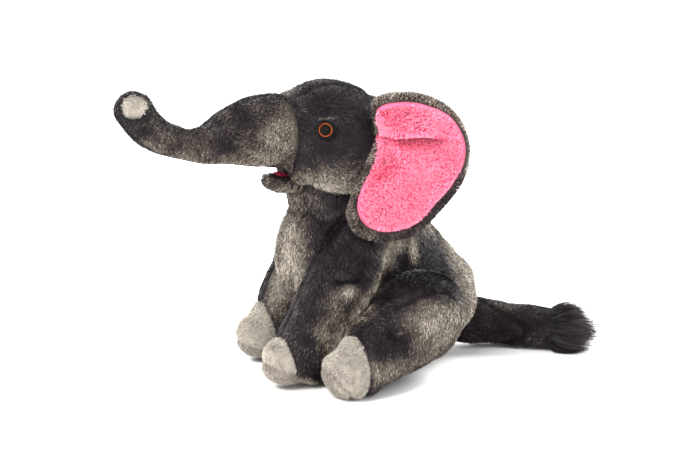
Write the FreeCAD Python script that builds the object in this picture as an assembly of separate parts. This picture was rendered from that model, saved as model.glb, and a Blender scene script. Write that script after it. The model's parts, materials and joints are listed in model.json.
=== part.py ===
import FreeCAD, Part
import math
import os

# A sitting plush elephant, in millimetres. It faces -Y, its left side is +X, and it sits on the plane
# Z = 0 with the origin under its seat. Every limb is a sewn fabric skin around a core of stuffing. Limbs
# meet the body in ball-shaped pockets, so that the soft joints can turn without the pieces crossing.

# ---- cloth and clearances -------------------------------------------------------------------------
SKIN = 3.0              # plush cloth, backing and short pile together
GAP = 0.8               # clearance between two bodies at a joint
EMBROIDERY = 0.8        # height of the stitched eye above the cloth

# ---- torso: share of the height, middle in Y, share of the half width, half depth ---------------------
TORSO_TOP = 150.0
TORSO_HALF_WIDTH = 54.0
TORSO_LEVELS = [
    (0.0, -12.0, 0.74, 46.0),
    (0.08, -11.0, 0.93, 66.0),
    (0.233, -10.0, 1.0, 71.0),
    (0.4, -16.0, 1.0, 75.0),
    (0.567, -32.0, 0.945, 73.0),
    (0.733, -53.0, 0.852, 69.0),
    (0.9, -73.0, 0.722, 53.0),
    (1.0, -82.0, 0.648, 43.0),
]
BELLY_HALF = 14.0       # half width of the belly panel and of the web between the front legs

# ---- neck and head ----------------------------------------------------------------------------------
NECK_RISE = 6.0         # height of the neck under the lowest point of the head
NECK_R_LOW = 37.0
NECK_R_TOP = 33.0
NECK_COLLAR = 12.0      # how far the neck's rim climbs round the head
HEAD_R = 47.0
HEAD_Y = TORSO_LEVELS[-1][1]
HEAD_Z = TORSO_TOP + NECK_RISE + HEAD_R
HEAD = (0.0, HEAD_Y, HEAD_Z)
GUSSET_HALF = 11.0      # half width of the strip over the crown

# ---- eyes --------------------------------------------------------------------------------------------
EYE_DIR = (38.0, -23.0, 13.0)
PUPIL_R = 4.1
IRIS_R = 6.0
EYE_PATCH_R = 9.0

# ---- trunk: X, Y, Z from its root, half width, half height ---------------------------------------------
TRUNK_ROOT_R = 34.0
TRUNK_ROOT_SUNK = 17.0  # how deep the middle of the root lies under the face
TRUNK_ROOT = (0.0, HEAD_Y - HEAD_R + TRUNK_ROOT_SUNK, HEAD_Z + 3.0)
TRUNK_BEND_R = 16.5
TRUNK_BEND_WALL = 0.4   # how far the trunk's end stands out round the bend's ball
TRUNK_BEND_AT = (0.0, -88.0, -6.0)
TRUNK_BASE_PATH = [
    (0.0, -10.0, 0.5, 28.0, 29.5),
    (0.0, -28.0, 2.5, 26.0, 29.0),
    (0.0, -48.0, 3.5, 23.0, 26.5),
    (0.0, -69.0, -0.5, 18.5, 20.5),
    TRUNK_BEND_AT + (TRUNK_BEND_R - TRUNK_BEND_WALL, TRUNK_BEND_R + TRUNK_BEND_WALL),
]
TRUNK_TIP_R = 14.6
TRUNK_TIP_PATH = [
    TRUNK_BEND_AT + (TRUNK_TIP_R, TRUNK_TIP_R),
    (1.5, -103.0, -5.0, TRUNK_TIP_R, TRUNK_TIP_R),
    (4.0, -120.0, 3.0, TRUNK_TIP_R, TRUNK_TIP_R + 0.4),
    (9.0, -135.0, 15.0, TRUNK_TIP_R + 0.6, TRUNK_TIP_R + 1.0),
    (16.0, -146.0, 28.0, TRUNK_TIP_R + 1.4, TRUNK_TIP_R + 1.9),
]
TRUNK_END_AT = (22.0, -150.0, 34.0)
TRUNK_END_R = 16.5
TRUNK_DISC_R = 12.0
UNDER_HALF = 8.0        # half width of the strip under the trunk

# ---- lower jaw --------------------------------------------------------------------------------------------
JAW_ROOT_R = 5.0
JAW_Y = HEAD_Y - 24.0
JAW_Z = HEAD_Z - HEAD_R + 10.0
JAW_LENGTH = 36.0
JAW_HALF = 15.0
JAW_THICK = 6.0
LINING_THICK = 1.5
JAW_ROOM = 15.0         # how far behind its hinge the neck is hollowed for the nodding jaw

# ---- ears: height from the head's middle, then the distances from the root line to both edges ------------
EAR_ROOT_R = 5.0
EAR_BEHIND = 24.0       # how far the root line lies behind the head's middle
EAR_PROUD = 1.6         # how far the root line stands out of the head
EAR_X = math.sqrt(HEAD_R ** 2 - EAR_BEHIND ** 2) + EAR_PROUD
EAR_Y = HEAD_Y + EAR_BEHIND
EAR_ROOT_LOW = HEAD_Z - 15.0
EAR_ROOT_TOP = HEAD_Z + 19.0
EAR_OUT_BACK = 28.0     # degrees that the rear half stands out from the head
EAR_OUT_FRONT = 24.0    # the same for the lobe that hangs in front of the root
EAR_BEND = 12.0         # how gently the two halves turn into each other
EAR_FLARE = 0.3         # how far the ear stands further out for each step below its root
EAR_LAYER = 3.6
EAR_SEAM = 0.4
EAR_LEVELS = [
    (-81.0, -10.0, 14.0),
    (-75.0, -28.0, 30.0),
    (-63.0, -39.0, 42.0),
    (-48.0, -38.0, 55.0),
    (-31.0, -30.0, 66.0),
    (-13.0, -8.0, 73.0),
    (5.0, -4.0, 73.0),
    (22.0, -4.0, 64.0),
    (35.0, 2.0, 50.0),
    (41.0, 14.0, 36.0),
]

# ---- front legs: share of the way from shoulder to ankle, half width, half height -------------------------
SHOULDER_R = 26.0
SHOULDER = (BELLY_HALF + 26.0, -84.0, TORSO_TOP - 46.0)
FRONT_ANKLE = (SHOULDER[0], -128.0, 30.0)
FRONT_LEG_SECTIONS = [
    (0.18, 22.0, 24.0),
    (0.455, 21.5, 24.0),
    (0.74, 20.5, 22.5),
    (1.0, 19.5, 21.5),
]
FRONT_FOOT = (SHOULDER[0], -136.0, 19.0)
FRONT_FOOT_RADII = (21.5, 28.0, 27.0)
FRONT_CAP_LENGTH = 23.0
FRONT_BACK_SWING = 10.0

# ---- hind legs: X, Y, Z from the hip, half width, half height -----------------------------------------------
HIP_R = 41.0
HIP = (19.0 + HIP_R, -20.0, HIP_R + 9.0)
HIND_LEG_PATH = [
    (6.0, -14.0, -4.0, 29.0, 31.0),
    (18.0, -36.0, -12.0, 27.0, 29.0),
    (26.0, -58.0, -19.0, 24.0, 26.0),
    (28.0, -78.0, -24.0, 22.5, 25.0),
]
HIND_FOOT_AT = (28.0, -84.0)
HIND_FOOT_HEIGHT = 21.0
HIND_FOOT_RADII = (23.0, 28.0, 26.0)
HIND_CAP_LENGTH = 26.0

# ---- tail: X, Y, Z from its root, half width, half height ------------------------------------------------------
TAIL_ROOT_R = 22.5
TAIL_ROOT = (4.0, 57.0, TAIL_ROOT_R + 4.5)
TAIL_PATH = [
    (3.0, 7.0, -1.0, 18.0, 18.5),
    (12.0, 23.0, -5.0, 17.0, 17.8),
    (23.0, 39.0, -7.5, 16.5, 17.5),
    (34.0, 53.0, -8.5, 16.0, 17.0),
]
TUFT_PATH = [
    (34.0, 53.0, -8.5, 16.0, 17.0),
    (41.1, 62.1, -9.15, 18.5, 18.0),
    (45.0, 75.0, -9.5, 18.0, 16.5),
    (51.0, 89.0, -11.5, 12.0, 11.0),
    (54.0, 96.0, -12.5, 5.0, 5.0),
]

FLOOR_SPAN = 600.0      # larger than the toy, for half spaces
RIM_POINTS = 12         # points around a section
EAR_STEPS = 8           # spans along a level section of the ear


def at(point):
    return FreeCAD.Vector(*point)


def moved(point, root):
    """A point given from a root, with any half sizes after it kept as they are."""
    return tuple(a + b for a, b in zip(root, point[:3])) + tuple(point[3:])


def path_from(root, path):
    return [moved(station, root) for station in path]


def box(x, y, z):
    """A box from three (low, high) spans."""
    size = [span[1] - span[0] for span in (x, y, z)]
    return Part.makeBox(size[0], size[1], size[2], FreeCAD.Vector(x[0], y[0], z[0]))


def ball(centre, radius):
    return Part.makeSphere(radius, at(centre))


def ellipsoid(centre, radii, inset=0.0):
    """A ball stretched to three radii, each made smaller by the inset."""
    stretch = FreeCAD.Matrix()
    stretch.scale(*[radius - inset for radius in radii])
    stretched = Part.makeSphere(1.0).transformGeometry(stretch)
    stretched.translate(at(centre))
    return stretched


def loop(centre, side, up, half_width, half_height):
    """A closed smooth rim in the plane of side and up."""
    points = []
    for step in range(RIM_POINTS):
        angle = 2.0 * math.pi * step / RIM_POINTS
        points.append(centre + side * (half_width * math.cos(angle)) + up * (half_height * math.sin(angle)))
    rim = Part.BSplineCurve()
    rim.interpolate(points, PeriodicFlag=True)
    return Part.Wire([rim.toShape()])


def tube(stations, inset=0.0):
    """A limb: a smooth solid through sections that stand square to its middle line."""
    centres = [at(station[:3]) for station in stations]
    rims = []
    for index, station in enumerate(stations):
        before = centres[max(index - 1, 0)]
        after = centres[min(index + 1, len(centres) - 1)]
        along = (after - before).normalize()
        across = FreeCAD.Vector(1, 0, 0)
        side = (across - along * across.dot(along)).normalize()
        up = side.cross(along).normalize()
        rims.append(loop(centres[index], side, up, station[3] - inset, station[4] - inset))
    return Part.makeLoft(rims, True, False)


def stack(levels, inset=0.0):
    """An upright body: a smooth solid through level sections."""
    rims = []
    for height_share, middle, width_share, half_depth in levels:
        centre = FreeCAD.Vector(0, middle, height_share * TORSO_TOP)
        rims.append(loop(centre, FreeCAD.Vector(1, 0, 0), FreeCAD.Vector(0, 1, 0),
                         width_share * TORSO_HALF_WIDTH - inset, half_depth - inset))
    return Part.makeLoft(rims, True, False)


def mirrored(shape):
    return shape.mirror(FreeCAD.Vector(0, 0, 0), FreeCAD.Vector(1, 0, 0))


def both_sides(shape):
    return [shape, mirrored(shape)]


def joined(shapes):
    return shapes[0].multiFuse(shapes[1:]).removeSplitter()


def beyond_x(low):
    return box((low, FLOOR_SPAN), (-FLOOR_SPAN, FLOOR_SPAN), (-FLOOR_SPAN, FLOOR_SPAN))


def below_x(high):
    return box((-FLOOR_SPAN, high), (-FLOOR_SPAN, FLOOR_SPAN), (-FLOOR_SPAN, FLOOR_SPAN))


def above_z(low):
    return box((-FLOOR_SPAN, FLOOR_SPAN), (-FLOOR_SPAN, FLOOR_SPAN), (low, FLOOR_SPAN))


def before_y(high):
    return box((-FLOOR_SPAN, FLOOR_SPAN), (-FLOOR_SPAN, high), (-FLOOR_SPAN, FLOOR_SPAN))


def save(node, shape):
    """Write the largest solid of a shape, so that a cut leaves no loose crumbs."""
    solid = max(shape.Solids, key=lambda piece: piece.Volume)
    solid.exportStep("parts/" + node + ".step")
    share = solid.Volume / shape.Volume
    print("%-28s %9.0f mm3  %5.3f kept  valid %s" % (node, solid.Volume, share, solid.isValid()))


def save_sides(outer_name, left_shape):
    """Write a left piece and its mirror image; NAME holds %s for the side."""
    save(outer_name % "left", left_shape)
    save(outer_name % "right", mirrored(left_shape))


def front_leg(inset):
    way = at(FRONT_ANKLE) - at(SHOULDER)
    stations = [tuple(at(SHOULDER) + way * share) + (width, height) for share, width, height in FRONT_LEG_SECTIONS]
    core = joined([ball(SHOULDER, SHOULDER_R - inset), tube(stations, inset),
                   ellipsoid(FRONT_FOOT, FRONT_FOOT_RADII, inset)])
    return core.common(above_z(inset))


def hind_foot():
    return (HIP[0] + HIND_FOOT_AT[0], HIP[1] + HIND_FOOT_AT[1], HIND_FOOT_HEIGHT)


def hind_leg(inset):
    core = joined([ball(HIP, HIP_R - inset), tube(path_from(HIP, HIND_LEG_PATH), inset),
                   ellipsoid(hind_foot(), HIND_FOOT_RADII, inset)])
    return core.common(above_z(inset))


def front_leg_room():
    """The space that a front leg sweeps below its shoulder, beside the belly web."""
    lean = math.atan2(SHOULDER[1] - FRONT_FOOT[1], SHOULDER[2] - FRONT_FOOT[2])
    back = lean - math.radians(FRONT_BACK_SWING)
    down = FreeCAD.Vector(0, -math.sin(back), -math.cos(back))
    rear = FreeCAD.Vector(0, math.cos(back), -math.sin(back))
    start = FreeCAD.Vector(BELLY_HALF, SHOULDER[1], SHOULDER[2]) + rear * (FRONT_LEG_SECTIONS[0][2] + 3 * GAP)
    end = start + down * (SHOULDER[2] + SHOULDER_R)
    top = SHOULDER[2] + SHOULDER_R + GAP
    corners = [start, end, FreeCAD.Vector(BELLY_HALF, -FLOOR_SPAN, end.z),
               FreeCAD.Vector(BELLY_HALF, -FLOOR_SPAN, top), FreeCAD.Vector(BELLY_HALF, SHOULDER[1], top)]
    room = Part.Face(Part.makePolygon(corners + corners[:1]))
    return room.extrude(FreeCAD.Vector(FLOOR_SPAN, 0, 0))


def torso():
    outer = stack(TORSO_LEVELS)
    inside = box((-FLOOR_SPAN, FLOOR_SPAN), (-FLOOR_SPAN, FLOOR_SPAN), (SKIN, TORSO_TOP - SKIN))
    inner = stack(TORSO_LEVELS, SKIN).common(inside)
    hind_room = box((HIP[0] - HIP_R / 2, FLOOR_SPAN), (-FLOOR_SPAN, HIP[1] - HIP_R / 2),
                    (-FLOOR_SPAN, HIP[2] + HIP_R / 2))
    pockets = [ball(TAIL_ROOT, TAIL_ROOT_R + GAP)]
    for room in (ball(SHOULDER, SHOULDER_R + GAP), front_leg_room(), ball(HIP, HIP_R + GAP), hind_room):
        pockets += both_sides(room)
    outer = outer.cut(pockets)
    inner = inner.cut(pockets)
    shell = outer.cut(inner)
    seat = shell.common(box((-FLOOR_SPAN, FLOOR_SPAN), (-FLOOR_SPAN, FLOOR_SPAN), (0, SKIN)))
    upper = shell.cut(seat)
    belly_zone = box((-BELLY_HALF, BELLY_HALF), (-FLOOR_SPAN, TORSO_LEVELS[-1][1]), (0, TORSO_TOP))
    save("belly_panel", upper.common(belly_zone))
    sides = upper.cut(belly_zone)
    save("torso_left_panel", sides.common(beyond_x(0)))
    save("torso_right_panel", sides.common(below_x(0)))
    save("seat_panel", seat)
    save("torso_stuffing", inner)


def neck():
    low = FreeCAD.Vector(0, HEAD_Y, TORSO_TOP + GAP)
    rise = NECK_RISE + NECK_COLLAR - GAP
    outer = Part.makeCone(NECK_R_LOW, NECK_R_TOP, rise, low)
    inner = Part.makeCone(NECK_R_LOW - SKIN, NECK_R_TOP - SKIN, rise, low)
    throat = box((-JAW_HALF - 2 * GAP, JAW_HALF + 2 * GAP), (-FLOOR_SPAN, JAW_Y + JAW_ROOM), (0, HEAD_Z))
    pockets = [ball(HEAD, HEAD_R + GAP), throat]
    save("neck_skin", outer.cut(inner).cut(pockets))
    save("neck_stuffing", inner.cut(pockets))


def head():
    outer = ball(HEAD, HEAD_R)
    inner = ball(HEAD, HEAD_R - SKIN)
    pockets = [ball(TRUNK_ROOT, TRUNK_ROOT_R + GAP)]
    jaw_gap = JAW_ROOT_R + GAP
    pockets.append(Part.makeCylinder(jaw_gap, 2 * (JAW_HALF + GAP), FreeCAD.Vector(-JAW_HALF - GAP, JAW_Y, JAW_Z),
                                     FreeCAD.Vector(1, 0, 0)))
    pockets.append(box((-JAW_HALF - GAP, JAW_HALF + GAP), (-FLOOR_SPAN, JAW_Y), (-FLOOR_SPAN, JAW_Z + jaw_gap)))
    for root in both_sides(ear_root(GAP)):
        pockets.append(root)
    outer = outer.cut(pockets)
    inner = inner.cut(pockets)
    shell = outer.cut(inner)
    crown = box((-GUSSET_HALF, GUSSET_HALF), (-FLOOR_SPAN, FLOOR_SPAN), (HEAD_Z, FLOOR_SPAN))
    save("head_gusset", shell.common(crown))
    sides = shell.cut(crown)
    save("head_left_panel", sides.common(beyond_x(0)))
    save("head_right_panel", sides.common(below_x(0)))
    save("head_stuffing", inner)


def eyes():
    """The stitched eye: a dark patch, an orange ring and a black pupil, on the curve of the head."""
    look = at(EYE_DIR).normalize()
    centre = at(HEAD)
    relief = Part.makeSphere(HEAD_R + EMBROIDERY, centre).cut(Part.makeSphere(HEAD_R, centre))
    rods = [Part.makeCylinder(radius, 2 * HEAD_R, centre, look) for radius in (PUPIL_R, IRIS_R, EYE_PATCH_R)]
    save_sides("%s_pupil", relief.common(rods[0]))
    save_sides("%s_iris", relief.common(rods[1]).cut(rods[0]))
    save_sides("%s_eye_patch", relief.common(rods[2]).cut(rods[1]))


def trunk_base():
    bend_at = moved(TRUNK_BEND_AT, TRUNK_ROOT)
    bend = ball(bend_at, TRUNK_BEND_R + GAP)
    path = path_from(TRUNK_ROOT, TRUNK_BASE_PATH)
    outer = joined([ball(TRUNK_ROOT, TRUNK_ROOT_R), tube(path)]).cut(bend)
    inner = joined([ball(TRUNK_ROOT, TRUNK_ROOT_R - SKIN), tube(path, SKIN)]).cut(bend)
    shell = outer.cut(inner)
    under = box((-UNDER_HALF, UNDER_HALF), (-FLOOR_SPAN, TRUNK_ROOT[1]), (0, bend_at[2]))
    save("trunk_underside", shell.common(under))
    sides = shell.cut(under)
    save("trunk_left_panel", sides.common(beyond_x(0)))
    save("trunk_right_panel", sides.common(below_x(0)))
    save("trunk_stuffing", inner)


def trunk_tip():
    bend = moved(TRUNK_BEND_AT, TRUNK_ROOT)
    end = moved(TRUNK_END_AT, TRUNK_ROOT)
    path = path_from(TRUNK_ROOT, TRUNK_TIP_PATH)
    outer = joined([ball(bend, TRUNK_BEND_R), tube(path), ball(end, TRUNK_END_R)])
    inner = joined([ball(bend, TRUNK_BEND_R - SKIN), tube(path, SKIN), ball(end, TRUNK_END_R - SKIN)])
    shell = outer.cut(inner)
    look = FreeCAD.Vector(1.0, -0.35, 0.3).normalize()
    reach = math.sqrt(TRUNK_END_R ** 2 - TRUNK_DISC_R ** 2)
    face = Part.makeCylinder(TRUNK_DISC_R, TRUNK_END_R, at(end) + look * (reach - SKIN), look)
    save("trunk_end_disc", shell.common(face))
    rest = shell.cut(face)
    heading = at(end) - at(bend)
    left_half = beyond_x(0)
    left_half.rotate(at(bend), FreeCAD.Vector(0, 0, 1), math.degrees(math.atan2(heading.x, -heading.y)))
    save("trunk_tip_left_panel", rest.common(left_half))
    save("trunk_tip_right_panel", rest.cut(left_half))
    save("trunk_tip_stuffing", inner)


def jaw():
    """A short padded lip on a round root, with the mouth's lining on top."""
    root = Part.makeCylinder(JAW_ROOT_R, 2 * JAW_HALF, FreeCAD.Vector(-JAW_HALF, JAW_Y, JAW_Z),
                             FreeCAD.Vector(1, 0, 0))
    top = JAW_Z + JAW_ROOT_R - LINING_THICK
    slab = box((-JAW_HALF, JAW_HALF), (JAW_Y - JAW_LENGTH, JAW_Y), (top - JAW_THICK, top))
    tip = Part.makeCylinder(JAW_LENGTH, 3 * JAW_THICK, FreeCAD.Vector(0, JAW_Y, JAW_Z - 2 * JAW_THICK))
    lining = box((-JAW_HALF + SKIN, JAW_HALF - SKIN), (JAW_Y - JAW_LENGTH, JAW_Y), (top, top + LINING_THICK))
    lip = joined([root.common(before_y(JAW_Y + JAW_ROOT_R)), slab.common(tip)])
    save("lower_jaw", lip.cut(lining))
    save("mouth_lining", lining.common(tip))


def ear_root(extra):
    """The round fold that joins the left ear to the head, grown by a clearance."""
    return Part.makeCylinder(EAR_ROOT_R + extra, EAR_ROOT_TOP - EAR_ROOT_LOW + 2 * extra,
                             FreeCAD.Vector(EAR_X, EAR_Y, EAR_ROOT_LOW - extra))


def ear_point(along, depth, height):
    """A point of the left ear: along from the root line, depth from its back face, height."""
    slope = math.tan(math.radians(EAR_OUT_BACK if along > 0 else EAR_OUT_FRONT))
    sweep = math.cos(math.radians(EAR_OUT_BACK if along > 0 else EAR_OUT_FRONT))
    rise = slope * (math.hypot(along, EAR_BEND) - EAR_BEND) * sweep
    lean = math.atan(slope * along / math.hypot(along, EAR_BEND))
    flare = EAR_FLARE * max(EAR_ROOT_LOW - height, 0.0)
    x = EAR_X + EAR_ROOT_R - EAR_LAYER + rise + flare + depth * math.cos(lean)
    y = EAR_Y + along * sweep - depth * math.sin(lean)
    return FreeCAD.Vector(x, y, height)


def ear_layer(back, front):
    """One cloth layer of the ear between two depths, lofted through its level sections."""
    rims = []
    for rise, start, end in EAR_LEVELS:
        height = HEAD_Z + rise
        spans = [start + (end - start) * step / EAR_STEPS for step in range(EAR_STEPS + 1)]
        sides = []
        for depth in (back, front):
            side = Part.BSplineCurve()
            side.interpolate([ear_point(along, depth, height) for along in spans])
            sides.append(side)
        ends = [Part.LineSegment(side_a, side_b) for side_a, side_b in
                ((sides[0].EndPoint, sides[1].EndPoint), (sides[1].StartPoint, sides[0].StartPoint))]
        sides[1].reverse()
        rims.append(Part.Wire([sides[0].toShape(), ends[0].toShape(), sides[1].toShape(), ends[1].toShape()]))
    return Part.makeLoft(rims, True, False)


def ears():
    """Two cloths sewn back to back: the fur behind, with the root fold, and the lining in front."""
    save_sides("%s_ear_back", joined([ear_layer(0.0, EAR_LAYER), ear_root(0.0)]))
    save_sides("%s_ear_lining", ear_layer(EAR_LAYER + EAR_SEAM, 2 * EAR_LAYER))


def legs():
    front_toe = FRONT_FOOT[1] - FRONT_FOOT_RADII[1]
    hind_toe = hind_foot()[1] - HIND_FOOT_RADII[1]
    for name, leg, cap_y, middle in (
            ("front", front_leg, front_toe + FRONT_CAP_LENGTH, SHOULDER[0]),
            ("hind", hind_leg, hind_toe + HIND_CAP_LENGTH, hind_foot()[0] - HIND_FOOT_RADII[0] / 2)):
        outer = leg(0.0)
        inner = leg(SKIN)
        shell = outer.cut(inner)
        foot_zone = before_y(HIP[1] - HIP_R if name == "hind" else SHOULDER[1])
        sole = shell.common(box((-FLOOR_SPAN, FLOOR_SPAN), (-FLOOR_SPAN, HIP[1]), (0, SKIN))).common(foot_zone)
        upper = shell.cut(sole)
        cap_zone = before_y(cap_y)
        rest = upper.cut(cap_zone)
        save_sides("%s_" + name + "_sole", sole)
        save_sides("%s_" + name + "_toe_cap", upper.common(cap_zone))
        save_sides("%s_" + name + "_leg_outer", rest.common(beyond_x(middle)))
        save_sides("%s_" + name + "_leg_inner", rest.common(below_x(middle)))
        save_sides("%s_" + name + "_leg_stuffing", inner)


def tail():
    path = path_from(TAIL_ROOT, TAIL_PATH)
    outer = joined([ball(TAIL_ROOT, TAIL_ROOT_R), tube(path)])
    inner = joined([ball(TAIL_ROOT, TAIL_ROOT_R - SKIN), tube(path, SKIN)])
    shell = outer.cut(inner)
    left_half = beyond_x(TAIL_ROOT[0])
    heading = at(TAIL_PATH[-1][:3])
    left_half.rotate(at(TAIL_ROOT), FreeCAD.Vector(0, 0, 1), -math.degrees(math.atan2(heading.x, heading.y)))
    save("tail_left_panel", shell.common(left_half))
    save("tail_right_panel", shell.cut(left_half))
    save("tail_stuffing", inner)
    save("tail_tuft", tube(path_from(TAIL_ROOT, TUFT_PATH)))


os.makedirs("parts", exist_ok=True)
torso()
neck()
head()
eyes()
trunk_base()
trunk_tip()
jaw()
ears()
legs()
tail()
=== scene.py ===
"""The looks of the stuffed elephant: its sewn skins, pile, embroidery, ears and tuft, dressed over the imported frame."""

import json
import math

import bmesh
import bpy
import numpy as np
from bpy.props import FloatProperty, FloatVectorProperty, IntProperty, PointerProperty
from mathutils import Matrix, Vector, kdtree


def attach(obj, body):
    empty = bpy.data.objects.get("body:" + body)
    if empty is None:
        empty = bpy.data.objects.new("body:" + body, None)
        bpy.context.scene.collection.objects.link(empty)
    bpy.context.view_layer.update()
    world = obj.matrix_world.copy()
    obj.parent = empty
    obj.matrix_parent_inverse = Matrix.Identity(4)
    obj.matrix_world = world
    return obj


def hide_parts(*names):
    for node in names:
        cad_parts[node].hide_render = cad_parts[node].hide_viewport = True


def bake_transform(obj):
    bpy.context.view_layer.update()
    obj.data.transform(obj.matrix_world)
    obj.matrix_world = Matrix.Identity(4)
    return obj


bl_info = {
    "name": "Stuffed Elephant",
    "version": (1, 0, 0),
    "blender": (4, 5, 0),
    "location": "View3D > Sidebar > Elephant",
    "description": "Builds the skins, pile and stitching of a sitting plush elephant",
    "category": "Object",
}

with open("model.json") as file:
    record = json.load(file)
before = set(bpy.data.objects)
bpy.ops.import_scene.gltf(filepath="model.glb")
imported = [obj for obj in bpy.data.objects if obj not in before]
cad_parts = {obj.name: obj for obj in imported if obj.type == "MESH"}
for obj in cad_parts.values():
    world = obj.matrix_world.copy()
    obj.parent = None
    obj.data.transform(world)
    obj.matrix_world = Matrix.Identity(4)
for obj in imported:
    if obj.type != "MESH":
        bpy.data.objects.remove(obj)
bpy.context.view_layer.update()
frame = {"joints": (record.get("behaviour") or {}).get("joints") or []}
PIVOT = {joint["name"]: np.array(joint["pos_m"]) * 1000 for joint in frame["joints"]}
MM = 0.001
SIDES = (("left", 1), ("right", -1))


def linear(code):
    """An sRGB hex colour as linear red, green and blue."""
    parts = [int(code[i:i + 2], 16) / 255 for i in (1, 3, 5)]
    return tuple(c / 12.92 if c <= 0.04045 else ((c + 0.055) / 1.055) ** 2.4 for c in parts)


def draws(seed):
    """A repeatable source of random numbers."""
    return np.random.default_rng(seed)


# ---------------------------------------------------------------- settings


def dye_of(label, use, code):
    """A setting for a colour."""
    return FloatVectorProperty(name=label, description=use, subtype="COLOR", default=linear(code))


def span_of(label, use, millimetres, least=0.0):
    """A setting for a length, given in millimetres."""
    return FloatProperty(
        name=label, description=use, default=millimetres * MM, min=least * MM, subtype="DISTANCE", unit="LENGTH")


def turn_of(label, use, degrees):
    """A setting for an angle, given in degrees."""
    return FloatProperty(
        name=label, description=use, default=math.radians(degrees), subtype="ANGLE", unit="ROTATION")


class ElephantDyes(bpy.types.PropertyGroup):
    """Colours of the cloths and threads."""

    dark: dye_of("Dark plush", "Deepest dye of the body plush", "#0f090d")
    charcoal: dye_of("Charcoal plush", "Main dye of the body plush", "#2e242a")
    taupe: dye_of("Taupe plush", "Middle dye of the mottled plush", "#857a6c")
    silver: dye_of("Silver plush", "Lightest dye of the mottled plush", "#dbd2c3")
    pink: dye_of("Pink pile", "Dye of the ear linings", "#ffa3bf")
    cream: dye_of("Cream pile", "Dye of the toe caps, soles and trunk end", "#cdc6bb")
    crimson: dye_of("Crimson fleece", "Dye of the mouth lining", "#f03565")
    orange: dye_of("Orange thread", "Thread of the iris", "#93451f")
    black: dye_of("Black thread", "Thread of the pupil and eye patch", "#070506")


class ElephantPile(bpy.types.PropertyGroup):
    """Length, thickness and density of the pile."""

    length: span_of("Plush length", "Length of a tuft of the body plush", 3.7, 1.0)
    width: span_of("Plush tuft width", "Width of a tuft of fibres at its root", 0.64, 0.1)
    density: FloatProperty(
        name="Plush density", description="Tufts on each square millimetre", default=1.5, min=0.05)
    lean: turn_of("Plush lean", "How far the nap lies over", 66)
    pink_length: span_of("Pink pile length", "Length of the ear lining's pile", 4.2, 1.0)
    cream_length: span_of("Cream pile length", "Length of the cream pile", 2.6, 0.5)
    tuft_hairs: IntProperty(
        name="Tail tuft locks", description="Locks of long hair on the tail's end", default=4600, min=100)


class ElephantSewing(bpy.types.PropertyGroup):
    """How the skins are cut, sewn and filled."""

    grain: span_of("Skin grain", "Size of a facet of the sewn skins", 2.0, 1.0)
    cloth: span_of("Cloth thickness", "Thickness of the plush's backing", 1.2, 0.3)
    seam_depth: span_of("Seam depth", "How far a seam pulls the skin in", 1.6)
    seam_width: span_of("Seam width", "Half the width of skin that a seam pulls in", 3.2, 0.5)
    lumps: span_of("Stuffing lumps", "Height of the lumps that the stuffing makes", 1.3)


class ElephantStudio(bpy.types.PropertyGroup):
    """The floor, the lamps and the camera."""

    key: FloatProperty(name="Key light", description="Power of the large front light", default=44.0, unit="POWER")
    rim: FloatProperty(name="Rim light", description="Power of the light behind", default=34.0, unit="POWER")
    surround: FloatProperty(name="Surround", description="Strength of the pale surround", default=0.62, min=0.0)
    azimuth: turn_of("Camera azimuth", "Turn of the camera round the toy", 65)
    elevation: turn_of("Camera height angle", "Angle of the camera above the floor", 13)
    distance: span_of("Camera distance", "Distance from the camera to the toy", 1500.0)
    lens: FloatProperty(name="Lens", description="Focal length in millimetres", default=91.0, min=20.0)


# ---------------------------------------------------------------- forms, in millimetres


def from_joint(joint, rows):
    """Rows of (x, y, z, ...) measured from a joint's pivot, moved into the frame."""
    moved = np.array(rows, float)
    moved[:, :3] += PIVOT[joint]
    return moved


def eased(rows, steps, closed=False):
    """Rows with a smooth curve's rows added between them."""
    rows = np.asarray(rows, float)
    count = len(rows)
    spans = count if closed else count - 1
    share = np.linspace(0, 1, steps, endpoint=False)[:, None]
    out = []
    for i in range(spans):
        if closed:
            a, b, c, d = (rows[(i + k) % count] for k in (-1, 0, 1, 2))
        else:
            a, b, c, d = (rows[min(max(i + k, 0), count - 1)] for k in (-1, 0, 1, 2))
        out.append(0.5 * (2 * b + (c - a) * share + (2 * a - 5 * b + 4 * c - d) * share ** 2
                          + (3 * b - a - 3 * c + d) * share ** 3))
    if not closed:
        out.append(rows[-1:])
    return np.vstack(out)


def unit(vectors):
    """Vectors scaled to length one."""
    return vectors / np.maximum(np.linalg.norm(vectors, axis=-1, keepdims=True), 1e-9)


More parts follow.
